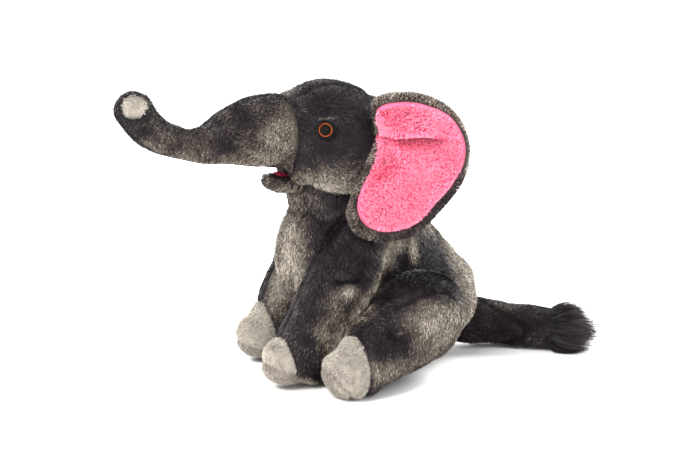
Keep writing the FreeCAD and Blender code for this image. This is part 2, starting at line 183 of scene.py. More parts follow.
def stuffed_tube(rings, level=False, around=40, steps=5, crown=0.8):
    """A closed form through rings of (x, y, z, half width, half depth), crowned at both ends."""
    rows = eased(rings, steps)
    middle, half = rows[:, :3], rows[:, 3:5]
    along = np.tile([0.0, 0.0, 1.0], (len(rows), 1)) if level else unit(np.gradient(middle, axis=0))
    turns = np.linspace(0, math.pi / 2, 6)[1:-1]
    start = [(middle[0] - along[0] * half[0].min() * crown * math.sin(t), half[0] * math.cos(t), along[0])
             for t in turns[::-1]]
    end = [(middle[-1] + along[-1] * half[-1].min() * crown * math.sin(t), half[-1] * math.cos(t), along[-1])
           for t in turns]
    rings = start + list(zip(middle, half, along)) + end
    angle = np.linspace(0, 2 * math.pi, around, endpoint=False)[:, None]
    points = []
    for centre, size, way in rings:
        across = unit(np.array([1.0, 0, 0]) - way * way[0])
        points.append(centre + across * size[0] * np.cos(angle) + np.cross(way, across) * size[1] * np.sin(angle))
    points = np.vstack(points + [middle[:1] - along[:1] * half[0].min() * crown,
                                 middle[-1:] + along[-1:] * half[-1].min() * crown])
    faces, last = [], len(rings) - 1
    for i in range(last):
        for j in range(around):
            k = (j + 1) % around
            faces.append((i * around + j, i * around + k, (i + 1) * around + k, (i + 1) * around + j))
    for j in range(around):
        k = (j + 1) % around
        faces.append((len(points) - 2, k, j))
        faces.append((len(points) - 1, last * around + j, last * around + k))
    return points, faces


def stuffed_ball(centre, half, tilt=0.0):
    """A closed ball of the half sizes given, tilted in degrees about the X axis."""
    points, faces = stuffed_tube([(0, 0, -0.02, 1, 1), (0, 0, 0.02, 1, 1)], level=True, steps=1, crown=1.0)
    points = points * np.array(half, float)
    c, s = math.cos(math.radians(tilt)), math.sin(math.radians(tilt))
    points = points @ np.array([[1, 0, 0], [0, c, s], [0, -s, c]])
    return points + np.array(centre, float), faces


def mirrored(rows, side):
    """Rows of points on the left side, or their mirror image on the right."""
    rows = np.array(rows, float)
    rows[..., 0] *= side
    return rows


def on_left(points):
    """Points with those of the right side moved to their mirror image."""
    return np.column_stack([np.abs(points[:, 0]), points[:, 1:]])


def ripple(points, size, seed):
    """A soft uneven field over the points, about -1 to 1, with humps of about that size."""
    draw = draws(seed)
    total = np.zeros(len(points))
    for _ in range(12):
        way = unit(draw.normal(size=3))
        total += np.sin(points @ way * 2 * math.pi / (size * draw.uniform(1.3, 2.6)) + draw.uniform(0, 2 * math.pi))
    return total / 4.2


def facing(points, faces):
    """The outward direction at each point."""
    corners = points[faces]
    across = np.cross(corners[:, 2] - corners[:, 0], corners[:, 3] - corners[:, 1])
    out = np.zeros_like(points)
    for k in range(4):
        np.add.at(out, faces[:, k], across)
    return unit(out)


def one_skin(forms, grain, ease):
    """One smooth skin round overlapping forms, as points and four-sided faces."""
    points, faces = [], []
    for form_points, form_faces in forms:
        shift = sum(len(p) for p in points)
        points.append(form_points)
        faces += [tuple(i + shift for i in face) for face in form_faces]
    mesh = bpy.data.meshes.new("forms")
    mesh.from_pydata(np.vstack(points).tolist(), [], faces)
    bm = bmesh.new()
    bm.from_mesh(mesh)
    bmesh.ops.recalc_face_normals(bm, faces=bm.faces)
    bm.to_mesh(mesh)
    bm.free()
    form = bpy.data.objects.new("forms", mesh)
    bpy.context.scene.collection.objects.link(form)
    remesh = form.modifiers.new("skin", "REMESH")
    remesh.mode = "VOXEL"
    remesh.voxel_size = grain / MM
    smooth = form.modifiers.new("ease", "SMOOTH")
    smooth.factor = 0.5
    smooth.iterations = ease
    skin = bpy.data.meshes.new_from_object(form.evaluated_get(bpy.context.evaluated_depsgraph_get()))
    out = np.empty(len(skin.vertices) * 3)
    skin.vertices.foreach_get("co", out)
    quads = np.empty(len(skin.loops), int)
    skin.loops.foreach_get("vertex_index", quads)
    bpy.data.objects.remove(form)
    bpy.data.meshes.remove(mesh)
    bpy.data.meshes.remove(skin)
    return out.reshape(-1, 3), quads.reshape(-1, 4)


def far_from_path(points, path):
    """Distance from each point to a path of straight runs."""
    path = np.asarray(path, float)
    best = np.full(len(points), 1e9)
    for a, b in zip(path[:-1], path[1:]):
        run = b - a
        share = np.clip(((points - a) @ run) / (run @ run), 0, 1)[:, None]
        best = np.minimum(best, np.linalg.norm(points - a - run * share, axis=1))
    return best


def filled(points, faces, lumps, seed, folds=()):
    """The skin with the stuffing's lumps, and folds of (path, depth, half width) pressed in."""
    out = facing(points, faces)
    lift = lumps / MM * (0.75 * ripple(points, 26, seed) + 0.3 * ripple(points, 9, seed + 1))
    for path, depth, width in folds:
        away = far_from_path(points, path) / width
        lift = lift - depth * np.exp(-away ** 2) + 0.3 * depth * np.exp(-(away - 2.1) ** 2)
    return points + out * lift[:, None]


def sewn_panels(points, faces, cuts, name_of, sewing, quiet=None):
    """Cuts a skin along planes into named panels and pulls it in at their seams.

    Returns the panels, and the whole skin's points, faces and seam points."""
    mesh = bpy.data.meshes.new("uncut")
    mesh.from_pydata(points.tolist(), [], faces.tolist())
    bm = bmesh.new()
    bm.from_mesh(mesh)
    bpy.data.meshes.remove(mesh)
    for place, way in cuts:
        bmesh.ops.bisect_plane(bm, geom=bm.verts[:] + bm.edges[:] + bm.faces[:], dist=0.05,
                               plane_co=[float(c) for c in place], plane_no=[float(c) for c in way])
    bm.verts.index_update()
    bm.normal_update()
    spots = np.array([v.co[:] for v in bm.verts])
    out = np.array([v.normal[:] for v in bm.verts])
    corners = [[v.index for v in f.verts] for f in bm.faces]
    names = name_of(np.array([f.calc_center_median()[:] for f in bm.faces]))
    owner = {}
    on_seam = set()
    for face, name in zip(corners, names):
        for i in face:
            if owner.setdefault(i, name) != name:
                on_seam.add(i)
    bm.free()
    seams = spots[sorted(on_seam)] if on_seam else np.empty((0, 3))
    if quiet is not None:
        seams = seams[~quiet(seams)]
    if len(seams):
        near = nearest(seams, spots) / (sewing.seam_width / MM)
        spots = spots - out * (sewing.seam_depth / MM * np.exp(-near ** 2))[:, None]
    panels = {}
    for name in sorted(set(names)):
        chosen = [face for face, own in zip(corners, names) if own == name]
        used = sorted({i for face in chosen for i in face})
        index = {old: new for new, old in enumerate(used)}
        panels[name] = (spots[used], [[index[i] for i in face] for face in chosen])
    return panels, spots, corners, seams


def nearest(targets, points):
    """Distance from each point to the nearest target."""
    tree = kdtree.KDTree(len(targets))
    for i, target in enumerate(targets):
        tree.insert(target, i)
    tree.balance()
    return np.array([tree.find(point)[2] for point in points])


# ---------------------------------------------------------------- materials


def add(tree, kind, settings=None, **links):
    """Adds a node with its settings, and links other nodes' sockets to its inputs."""
    made = tree.nodes.new(kind)
    for name, value in (settings or {}).items():
        if name in made.inputs:
            made.inputs[name].default_value = value
        else:
            setattr(made, name, value)
    for name, socket in links.items():
        tree.links.new(socket, made.inputs[name.replace("_", " ")])
    return made


def new_material(name):
    """An empty node material and its tree, reused if it is there already."""
    made = bpy.data.materials.get(name)
    if made:
        return made, None
    made = bpy.data.materials.new(name)
    made.use_nodes = True
    made.node_tree.nodes.clear()
    return made, made.node_tree


def shades(tree, socket, stops):
    """A colour ramp over a socket, from (place, colour) stops."""
    ramp = add(tree, "ShaderNodeValToRGB", Fac=socket)
    bar = ramp.color_ramp
    while len(bar.elements) < len(stops):
        bar.elements.new(0.5)
    for element, (place, colour) in zip(bar.elements, stops):
        element.position = place
        element.color = (*colour, 1.0)
    return ramp.outputs["Color"]


def mottled_plush():
    """Cut-pile polyester plush, printed in mottled charcoal and taupe.

    The nap is sleek, so it gives broad silky lights; its roots are painted darker and its tips a little lighter, as
    painted shade between the tufts."""
    made, tree = new_material("knitted_mottled_plush")
    if tree is None:
        return made
    dyes = bpy.context.scene.elephant_dyes
    tone = add(tree, "ShaderNodeAttribute", {"attribute_name": "tone"})
    along = add(tree, "ShaderNodeAttribute", {"attribute_name": "along"})
    place = add(tree, "ShaderNodeTexCoord")
    # real tufts are about 0.3 mm apart; the specks are drawn at 1.6 mm, so that they show
    fine = add(tree, "ShaderNodeTexNoise", {"Scale": 620.0, "Detail": 2.0, "Roughness": 0.6},
               Vector=place.outputs["Object"])
    spread = add(tree, "ShaderNodeMapRange", {"From Min": 0.3, "From Max": 0.7, "To Min": -0.07, "To Max": 0.07},
                 Value=fine.outputs["Fac"])
    dyed = add(tree, "ShaderNodeMath", {"operation": "ADD"})
    tree.links.new(tone.outputs["Fac"], dyed.inputs[0])
    tree.links.new(spread.outputs["Result"], dyed.inputs[1])
    colour = shades(tree, dyed.outputs["Value"], [
        (0.0, dyes.dark), (0.3, dyes.charcoal), (0.62, dyes.taupe), (1.0, dyes.silver)])
    # painted shade between the tufts: the colour is scaled darker towards the roots and a little lighter at the tips,
    # and the skins under the pile take a fixed share of it
    depth = add(tree, "ShaderNodeMapRange", {"From Min": 0.0, "From Max": 1.0, "To Min": 0.3, "To Max": 1.15},
                Value=along.outputs["Fac"])
    root_shaded = add(tree, "ShaderNodeVectorMath", {"operation": "SCALE"}, Scale=depth.outputs["Result"])
    tree.links.new(colour, root_shaded.inputs[0])
    cloth = add(tree, "ShaderNodeBsdfPrincipled", {
        "Roughness": 0.5, "IOR": 1.54, "Specular IOR Level": 0.2}, Base_Color=root_shaded.outputs["Vector"])
    add(tree, "ShaderNodeOutputMaterial", Surface=cloth.outputs["BSDF"])
    return made


def dyed_pile(name, root_shade_colour, colour, rough, sheen, wander=0.12):
    """Cut polyester pile of one dye: soft and matt, its colour painted deeper towards the roots as painted shade
    between the tufts.
    """
    made, tree = new_material(name)
    if tree is None:
        return made
    tone = add(tree, "ShaderNodeAttribute", {"attribute_name": "tone"})
    along = add(tree, "ShaderNodeAttribute", {"attribute_name": "along"})
    patchy = add(tree, "ShaderNodeMapRange", {"To Min": -wander, "To Max": wander}, Value=tone.outputs["Fac"])
    depth = add(tree, "ShaderNodeMath", {"operation": "ADD"})
    tree.links.new(along.outputs["Fac"], depth.inputs[0])
    tree.links.new(patchy.outputs["Result"], depth.inputs[1])
    # painted shade: the colour deepens towards the tufts' roots
    shaded_tint = shades(tree, depth.outputs["Value"], [(0.0, root_shade_colour), (1.0, colour)])
    cloth = add(tree, "ShaderNodeBsdfPrincipled", {
        "Roughness": rough, "IOR": 1.54, "Specular IOR Level": 0.25, "Sheen Weight": sheen,
        "Sheen Roughness": 0.5},
        Base_Color=shaded_tint)
    add(tree, "ShaderNodeOutputMaterial", Surface=cloth.outputs["BSDF"])
    return made


def cream_velboa():
    """Very short cream pile of the toe caps, the soles and the trunk's end."""
    return dyed_pile("short_cream_velboa", linear("#7d7267"), bpy.context.scene.elephant_dyes.cream, 0.85, 0.1, 0.4)


def satin_thread(name, colour):
    """Rayon embroidery thread in satin stitch: smooth, its colour painted brighter on the plies' crests and darker in
    their hollows, as painted highlight and shade.
    """
    made, tree = new_material(name)
    if tree is None:
        return made
    place = add(tree, "ShaderNodeTexCoord")
    # a ply of the thread is 0.15 mm; drawn at 0.4 mm, so that it shows
    ply = add(tree, "ShaderNodeTexNoise", {"Scale": 2500.0, "Detail": 1.0}, Vector=place.outputs["Object"])
    bump = add(tree, "ShaderNodeBump", {"Strength": 0.4, "Distance": 0.0002}, Height=ply.outputs["Fac"])
    # painted highlight and shade of the plies: the colour is brighter where the bump is high and darker where it is
    # low
    shaded_tint = add(tree, "ShaderNodeMapRange", {"To Min": 0.75, "To Max": 1.2}, Value=ply.outputs["Fac"])
    shade = add(tree, "ShaderNodeVectorMath", {"operation": "SCALE"}, Scale=shaded_tint.outputs["Result"])
    shade.inputs[0].default_value = colour
    thread = add(tree, "ShaderNodeBsdfPrincipled", {"Roughness": 0.55, "IOR": 1.53, "Specular IOR Level": 0.12},
                 Base_Color=shade.outputs["Vector"], Normal=bump.outputs["Normal"])
    add(tree, "ShaderNodeOutputMaterial", Surface=thread.outputs["BSDF"])
    return made


def plaster_sweep():
    """Matt painted studio floor: pale, with a faint rolled texture, and glowing far from the toy as a painted
    backlight.
    """
    made, tree = new_material("rolled_studio_paint")
    if tree is None:
        return made
    place = add(tree, "ShaderNodeTexCoord")
    roll = add(tree, "ShaderNodeTexNoise", {"Scale": 140.0, "Detail": 2.0}, Vector=place.outputs["Object"])
    bump = add(tree, "ShaderNodeBump", {"Strength": 0.05, "Distance": 0.0005}, Height=roll.outputs["Fac"])
    away = add(tree, "ShaderNodeVectorMath", {"operation": "LENGTH"})
    tree.links.new(place.outputs["Object"], away.inputs[0])
    # far from the toy the sweep glows, more with distance, as a painted backlight, so that it reads as white
    glow = add(tree, "ShaderNodeMapRange", {"From Min": 0.35, "From Max": 2.0, "To Max": 0.6},
               Value=away.outputs["Value"])
    paint = add(tree, "ShaderNodeBsdfPrincipled", {
        "Base Color": (*linear("#fbfaf8"), 1.0), "Roughness": 0.9, "Emission Color": (1.0, 1.0, 1.0, 1.0)},
        Normal=bump.outputs["Normal"], Emission_Strength=glow.outputs["Result"])
    add(tree, "ShaderNodeOutputMaterial", Surface=paint.outputs["BSDF"])
    return made


# ---------------------------------------------------------------- pieces


def mesh_piece(name, points, faces, material, tone=None, along=None):
    """A shown mesh object from points in millimetres, with its dye and its place along the tufts, which sets the
    painted root shade, kept on its points.
    """
    mesh = bpy.data.meshes.new(name)
    mesh.from_pydata((np.asarray(points) * MM).tolist(), [], faces if isinstance(faces, list) else faces.tolist())
    mesh.shade_smooth()
    for label, values in (("tone", tone), ("along", along)):
        if values is not None:
            kept = mesh.attributes.new(label, "FLOAT", "POINT")
            kept.data.foreach_set("value", np.broadcast_to(values, len(mesh.vertices)).astype(np.float32))
    mesh.materials.append(material)
    made = bpy.data.objects.new(name, mesh)
    bpy.context.scene.collection.objects.link(made)
    return made


def hang(piece, body, bend=None):
    """Fixes a piece to a body; a piece given a bend is only set in place, neither fixed to a body nor bent."""
    if bend is None:
        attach(piece, body)
    else:
        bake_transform(piece)
    return piece


def skin_piece(node, panel, material, body, bend=None, also=(), tone=0.3, along=0.4):
    """One sewn panel, thickened inwards to the cloth's thickness, in place of its CAD node."""
    points, faces = panel
    if callable(tone):
        tone = tone(np.asarray(points))
    # the skin takes the painted root shade at the share along given, as the painted shade between the tufts over it
    made = mesh_piece(node + "_cloth", points, faces, material, tone, along)
    cloth = made.modifiers.new("cloth", "SOLIDIFY")
    cloth.thickness = bpy.context.scene.elephant_sewing.cloth
    cloth.offset = -1.0
    hang(made, body, bend)
    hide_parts(node, *also)
    return made


def scatter(points, faces, density, seed):
    """Random places on the faces, about density to the square millimetre, and their outward directions."""
    triangles = np.array([(f[0], f[i], f[i + 1]) for f in faces for i in range(1, len(f) - 1)])
    a, b, c = (points[triangles[:, k]] for k in range(3))
    across = np.cross(b - a, c - a)
    area = np.linalg.norm(across, axis=1) / 2
    normals = np.zeros_like(points)
    for k in range(3):
        np.add.at(normals, triangles[:, k], across)
    normals = unit(normals)
    draw = draws(seed)
    pick = np.searchsorted(np.cumsum(area), draw.uniform(0, area.sum(), int(area.sum() * density)))
    pick = np.minimum(pick, len(area) - 1)
    u, v = draw.uniform(size=(2, len(pick), 1))
    flip = (u + v) > 1
    u, v = np.where(flip, 1 - u, u), np.where(flip, 1 - v, v)
    spots = a[pick] * (1 - u - v) + b[pick] * u + c[pick] * v
    ups = unit(normals[triangles[pick, 0]] * (1 - u - v) + normals[triangles[pick, 1]] * u
               + normals[triangles[pick, 2]] * v)
    return spots, ups


def pile_piece(name, roots, ups, nap, length, width, lean, tone, material, seed, unruly=0.16, curl=0.0,
               speckle=0.28):
    """A field of pile: each tuft is a tapering ribbon that leaves the cloth upright and leans along the nap."""
    draw = draws(seed)
    count = len(roots)
    way = np.broadcast_to(np.asarray(nap, float), (count, 3)) + unruly * draw.normal(size=(count, 3))
    for k in range(3):
        way[:, k] += 0.3 * ripple(roots, 28, seed + 11 + k) + 0.12 * ripple(roots, 9, seed + 21 + k)
    way = unit(way - ups * np.sum(way * ups, axis=1, keepdims=True))
    across = unit(np.cross(ups, way) + 0.5 * draw.normal(size=(count, 3)))
    long = length * draw.uniform(0.75, 1.15, (count, 1))
    over = np.clip(lean + draw.normal(scale=0.13, size=(count, 1)), 0.0, 1.42)
    half = width / 2 * draw.uniform(0.7, 1.25, (count, 1))
    low = over * 0.62
    mid = roots + long * 0.45 * (ups * np.cos(low) + way * np.sin(low))
    high = np.minimum(over * 1.18, 1.5)
    tip = mid + long * 0.55 * (ups * np.cos(high) + way * np.sin(high)) + across * long * curl * draw.normal(
        size=(count, 1))
    foot = roots - ups * 0.4
    points = np.stack([foot - across * half, foot + across * half, mid - across * half * 0.8,
                       mid + across * half * 0.8, tip], axis=1).reshape(-1, 3)
    base = np.arange(count)[:, None] * 5
    mesh = bpy.data.meshes.new(name)
    mesh.vertices.add(count * 5)
    mesh.vertices.foreach_set("co", (points * MM).astype(np.float32).ravel())
    mesh.loops.add(count * 7)
    mesh.loops.foreach_set("vertex_index", (base + np.array([0, 1, 3, 2, 2, 3, 4])).astype(np.int32).ravel())
    mesh.polygons.add(count * 2)
    starts = np.arange(count)[:, None] * 7 + np.array([0, 4])
    mesh.polygons.foreach_set("loop_start", starts.astype(np.int32).ravel())
    mesh.update(calc_edges=True)
    tone = np.broadcast_to(tone, count)
    tone = np.clip(tone + draw.normal(scale=speckle, size=count) * (0.22 + np.clip(tone, 0, 0.8)), 0, 1)
    for label, values in (("tone", np.repeat(tone, 5)), ("along", np.tile([0.0, 0.0, 0.55, 0.55, 1.0], count))):
        mesh.attributes.new(label, "FLOAT", "POINT").data.foreach_set("value", values.astype(np.float32))
    cells = math.ceil(math.sqrt(count))
    corner = np.stack([np.arange(count) % cells, np.arange(count) // cells], axis=1)[:, None] / cells
    shape = np.array([[0.1, 0.05], [0.9, 0.05], [0.8, 0.5], [0.2, 0.5], [0.2, 0.5], [0.8, 0.5], [0.5, 0.95]]) / cells
    mesh.uv_layers.new(name="OFBake").data.foreach_set("uv", (corner + shape).astype(np.float32).ravel())
    mesh.shade_smooth()
    mesh.materials.append(material)
    made = bpy.data.objects.new(name, mesh)
    bpy.context.scene.collection.objects.link(made)
    return made


def dye_and_shading(points, base, spots, seed, mottle=0.12, both=False):
    """How light the tone is at each point: a base, soft spots of (place, reach, change), and mottling; the spots hold
    print, and in places painted sheen and shade.
    """
    tone = base + mottle * ripple(points, 26, seed) + 0.7 * mottle * ripple(points, 9, seed + 5)
    if both:
        points = on_left(points)
    for place, reach, change in spots:
        away = np.linalg.norm((points - np.array(place, float)) / np.array(reach, float), axis=1)
        tone = tone + change * np.exp(-away ** 2)
    return np.clip(tone, 0.0, 1.0)


COAT = (
    # the print over the torso and the legs, with some painted sheen and shade among it: place on the left side, reach,
    # and change of tone
    # chest and shoulder; the chest's pale patches are partly print, partly painted sheen
    ((10, -124, 118), (15, 14, 32), 0.5), ((8, -126, 90), (16, 16, 18), 0.34),
    ((27, -104, 142), (16, 18, 12), -0.1), ((44, -92, 126), (24, 26, 26), -0.16),
    # the spot at (63, -96, 84) and the two after it paint a light streak down the front leg, partly print, partly
    # painted highlight
    ((56, -130, 66), (9, 9, 36), -0.1), ((63, -96, 84), (10, 7, 9), 0.3),
    ((63, -107, 68), (9, 7, 11), 0.32), ((62, -118, 50), (9, 7, 13), 0.34),
    # the pale streak that runs from the flank down the front leg
    ((43, -42, 113), (14, 9, 9), 0.75), ((43, -53, 101), (15, 10, 12), 0.8),
    ((53, -66, 84), (17, 8, 11), 0.8), ((56, -76, 71), (17, 8, 11), 0.8),
    ((58, -87, 58), (17, 8, 11), 0.78), ((59, -99, 44), (17, 8, 11), 0.74),
    ((60, -108, 32), (17, 8, 10), 0.6), ((53, -83, 92), (10, 6, 22), -0.2),
    ((64, -93, 91), (14, 13, 2), -0.5), ((62, -98, 82), (12, 14, 6), 0.3),
    # flank and back
    ((46, -38, 101), (9, 6, 7), -0.3), ((48, -49, 88), (9, 6, 8), -0.3),
    ((26, -2, 118), (18, 18, 8), 0.4), ((43, -26, 106), (11, 4.5, 14), 0.65),
    ((37, -5, 98), (12, 9, 13), -0.25), ((14, 22, 100), (20, 14, 18), 0.5),
    ((28, 36, 64), (24, 20, 34), 0.48), ((0, 44, 60), (20, 30, 44), 0.2),
    ((30, 42, 28), (26, 26, 18), 0.25),
    # haunch, then its foot
    ((76, -26, 88), (34, 34, 13), -0.42), ((44, -22, 86), (20, 26, 7), -0.4),
    # the spots at (62, -66, 76), (66, -84, 58) and (70, -66, 72) darken the crease between the front leg and the
    # haunch: painted shade
    ((62, -66, 76), (8, 9, 12), -0.5), ((66, -84, 58), (6, 10, 10), -0.3),
    ((70, -66, 72), (18, 16, 10), -0.2), ((97, -34, 60), (24, 34, 19), 0.4),
    ((96, -16, 36), (22, 22, 20), 0.36), ((100, -76, 46), (18, 22, 9), -0.16),
    ((109, -84, 27), (18, 26, 10), 0.34), ((88, 2, 54), (18, 10, 26), 0.34),
    ((106, -48, 18), (20, 28, 11), 0.24),
    # the chest between the front legs
    ((25, -124, 66), (10, 12, 28), 0.5), ((22, -138, 34), (12, 14, 9), -0.2),
)


def coat_print_and_shading(spots, seed):
    """The body's print with its painted sheen and shade, alike on both sides but for its mottling."""
    return dye_and_shading(spots, 0.22, COAT, seed, 0.07, both=True)


def beside(seams, roots, reach=2.4):
    """How close each root is to a seam: 1 on it, falling to 0."""
    return np.exp(-(nearest(seams, roots) / reach) ** 2) if len(seams) else np.zeros(len(roots))


def plush_pile(name, roots, ups, nap, tone, seed, seams=None, length=None):
    """The body plush's pile over some roots, shorter beside the seams and painted darker there, as painted shade in
    the seams' grooves.
    """
    pile = bpy.context.scene.elephant_pile
    long = (pile.length if length is None else length) / MM
    if seams is not None:
        near = beside(seams, roots)
        long = long * (1 - 0.55 * near[:, None])
        # painted shade in the seams' grooves
        tone = tone - 0.28 * near
    return pile_piece(name, roots, ups, nap, long, pile.width / MM, pile.lean, tone, mottled_plush(),
                      seed)


# ---------------------------------------------------------------- operators


class ELEPHANT_OT_torso(bpy.types.Operator):
    """Sews and fills the torso: two side panels, the belly panel and the seat"""

    bl_idname = "elephant.torso"
    bl_label = "Torso"

    def execute(self, context):
        sewing = context.scene.elephant_sewing
        pile = context.scene.elephant_pile
        trunk_of_body = stuffed_tube(from_joint("neck_turn", [
            (0, 62, -142, 28, 38), (0, 68, -126, 41, 54), (0, 62, -106, 51, 74), (0, 49, -90, 52, 85),
            (0, 43, -76, 51, 88), (0, 33, -59, 48, 82), (0, 24, -35, 44, 71), (0, 17, -15, 39, 58),
            (0, 12, 0, 33, 45)]), level=True, crown=0.3)
        points, faces = one_skin([trunk_of_body], sewing.grain, 8)
        points[:, 2] = np.maximum(points[:, 2], 2.5)
        shoulder = PIVOT["left_front_leg_swing"]
        folds = []
        for _, side in SIDES:
            folds.append((mirrored(from_joint("left_front_leg_swing", [
                (-2, 40, 30), (4, 36, 4), (6, 22, -22), (6, 4, -44)]), side), 4.0, 5.0))
            folds.append((mirrored([shoulder + (-20, -46, 20), shoulder + (-22, -50, -20)], side), 2.5, 6.0))
            folds.append((mirrored([shoulder + (4, 52, 20), shoulder + (7, 50, 2), shoulder + (8, 44, -12)], side),
                          2.2, 4.0))
            folds.append((mirrored([shoulder + (-16, 92, 8), shoulder + (-6, 104, -16), shoulder + (-4, 108, -44)],
                                   side), 1.8, 5.0))
        points = filled(points, faces, sewing.lumps, 3, folds)
        belly, seat = 15.0, 5.5
        cuts = [((belly, 0, 0), (1, 0, 0)), ((-belly, 0, 0), (1, 0, 0)), ((0, 0, seat), (0, 0, 1)),
                ((0, 0, 0), (1, 0, 0))]

        def name_of(middle):
            names = np.where(middle[:, 0] > 0, "torso_left_panel", "torso_right_panel")
            names[(np.abs(middle[:, 0]) < belly) & (middle[:, 1] < -60)] = "belly_panel"
            names[middle[:, 2] < seat] = "seat_panel"
            return names

        def print_of(spots):
            return coat_print_and_shading(spots, 7)

        panels, points, faces, seams = sewn_panels(points, faces, cuts, name_of, sewing)
        for node, panel in panels.items():
            skin_piece(node, panel, mottled_plush(), "torso", tone=print_of,
                       also=("torso_stuffing",) if node == "belly_panel" else ())
        roots, ups = scatter(points, faces, pile.density, 31)
        shown = roots[:, 2] > 3.5
        # the legs hide the skin round their roots, so it bears no pile there
        for joint, hidden in (("_front_leg_swing", 24), ("_hind_leg_swing", 33)):
            for name, _ in SIDES:
                shown &= np.linalg.norm(roots - PIVOT[name + joint], axis=1) > hidden
        for name, side in SIDES:
            own = shown & (roots[:, 0] * side > 0)
            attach(plush_pile("torso_" + name + "_pile", roots[own], ups[own], (0, 0.1, -1.0),
                               print_of(roots[own]), 41, seams), "torso")
        return {"FINISHED"}


class ELEPHANT_OT_neck(bpy.types.Operator):
    """Sews the collar of plush between the torso and the head"""

    bl_idname = "elephant.neck"
    bl_label = "Neck"

    def execute(self, context):
        sewing = context.scene.elephant_sewing
        pile = context.scene.elephant_pile
        points, faces = one_skin([stuffed_tube(from_joint("neck_turn", [
            (0, 4, -14, 35, 40), (0, 0, -2, 34, 38), (0, -4, 12, 32, 36), (0, -2, 24, 30, 34)]), level=True,
            crown=0.3)], sewing.grain, 6)
        points = filled(points, faces, sewing.lumps, 5)
        turn = PIVOT["neck_turn"]
        bend = ("neck", turn + (0, 0, -12), turn + (0, 0, 12))
        # the neck's skin is painted dark: painted shade in the fold under the head
        skin_piece("neck_skin", (points, faces.tolist()), mottled_plush(), "torso", bend,
                   also=("neck_stuffing",), tone=0.14)
        roots, ups = scatter(points, faces.tolist(), pile.density, 32)
        shown = np.abs(roots[:, 2] - turn[2]) < 22
        roots, ups = roots[shown], ups[shown]
        # the pile is painted dark, as painted shade in the fold under the head, and lighter at the front towards the
        # chest
        tone = dye_and_shading(roots, 0.16, [((0, -118, 148), (20, 20, 22), 0.42)], 9)
        hang(plush_pile("neck_pile", roots, ups, (0, 0.1, -1), tone, 42), "torso", bend)
        return {"FINISHED"}


def face_forms():
    """The stuffed forms of the head and the trunk, which are filled as one."""
    skull = PIVOT["head_nod"]
    forms = [stuffed_ball(skull + (0, 0, 0), (41, 45, 44)), stuffed_ball(skull + (0, -8, 11), (36, 43, 35.5))]
    for _, side in SIDES:
        forms.append(stuffed_ball(skull + mirrored((19, -3, -23), side), (22, 30, 26)))
        forms.append(stuffed_ball(skull + mirrored((13, -30, -24), side), (14, 17, 14)))
    forms.append(stuffed_tube(from_joint("head_nod", [
        (0, -10, 5, 36, 39), (0, -30, 6, 34, 35), (0, -46, 7, 32.5, 31), (0, -60, 7.5, 30, 29.5),
        (0, -75, 7.5, 26.5, 28), (0, -92, 5, 22, 23.5), (0, -104, 2, 18.5, 18.5), (0, -118, -1, 14.6, 14.6),
        (4, -146, 6.5, 13.8, 13.2), (9, -168, 20.5, 14, 14), (14, -180, 36, 15, 15.2)])))
    return forms


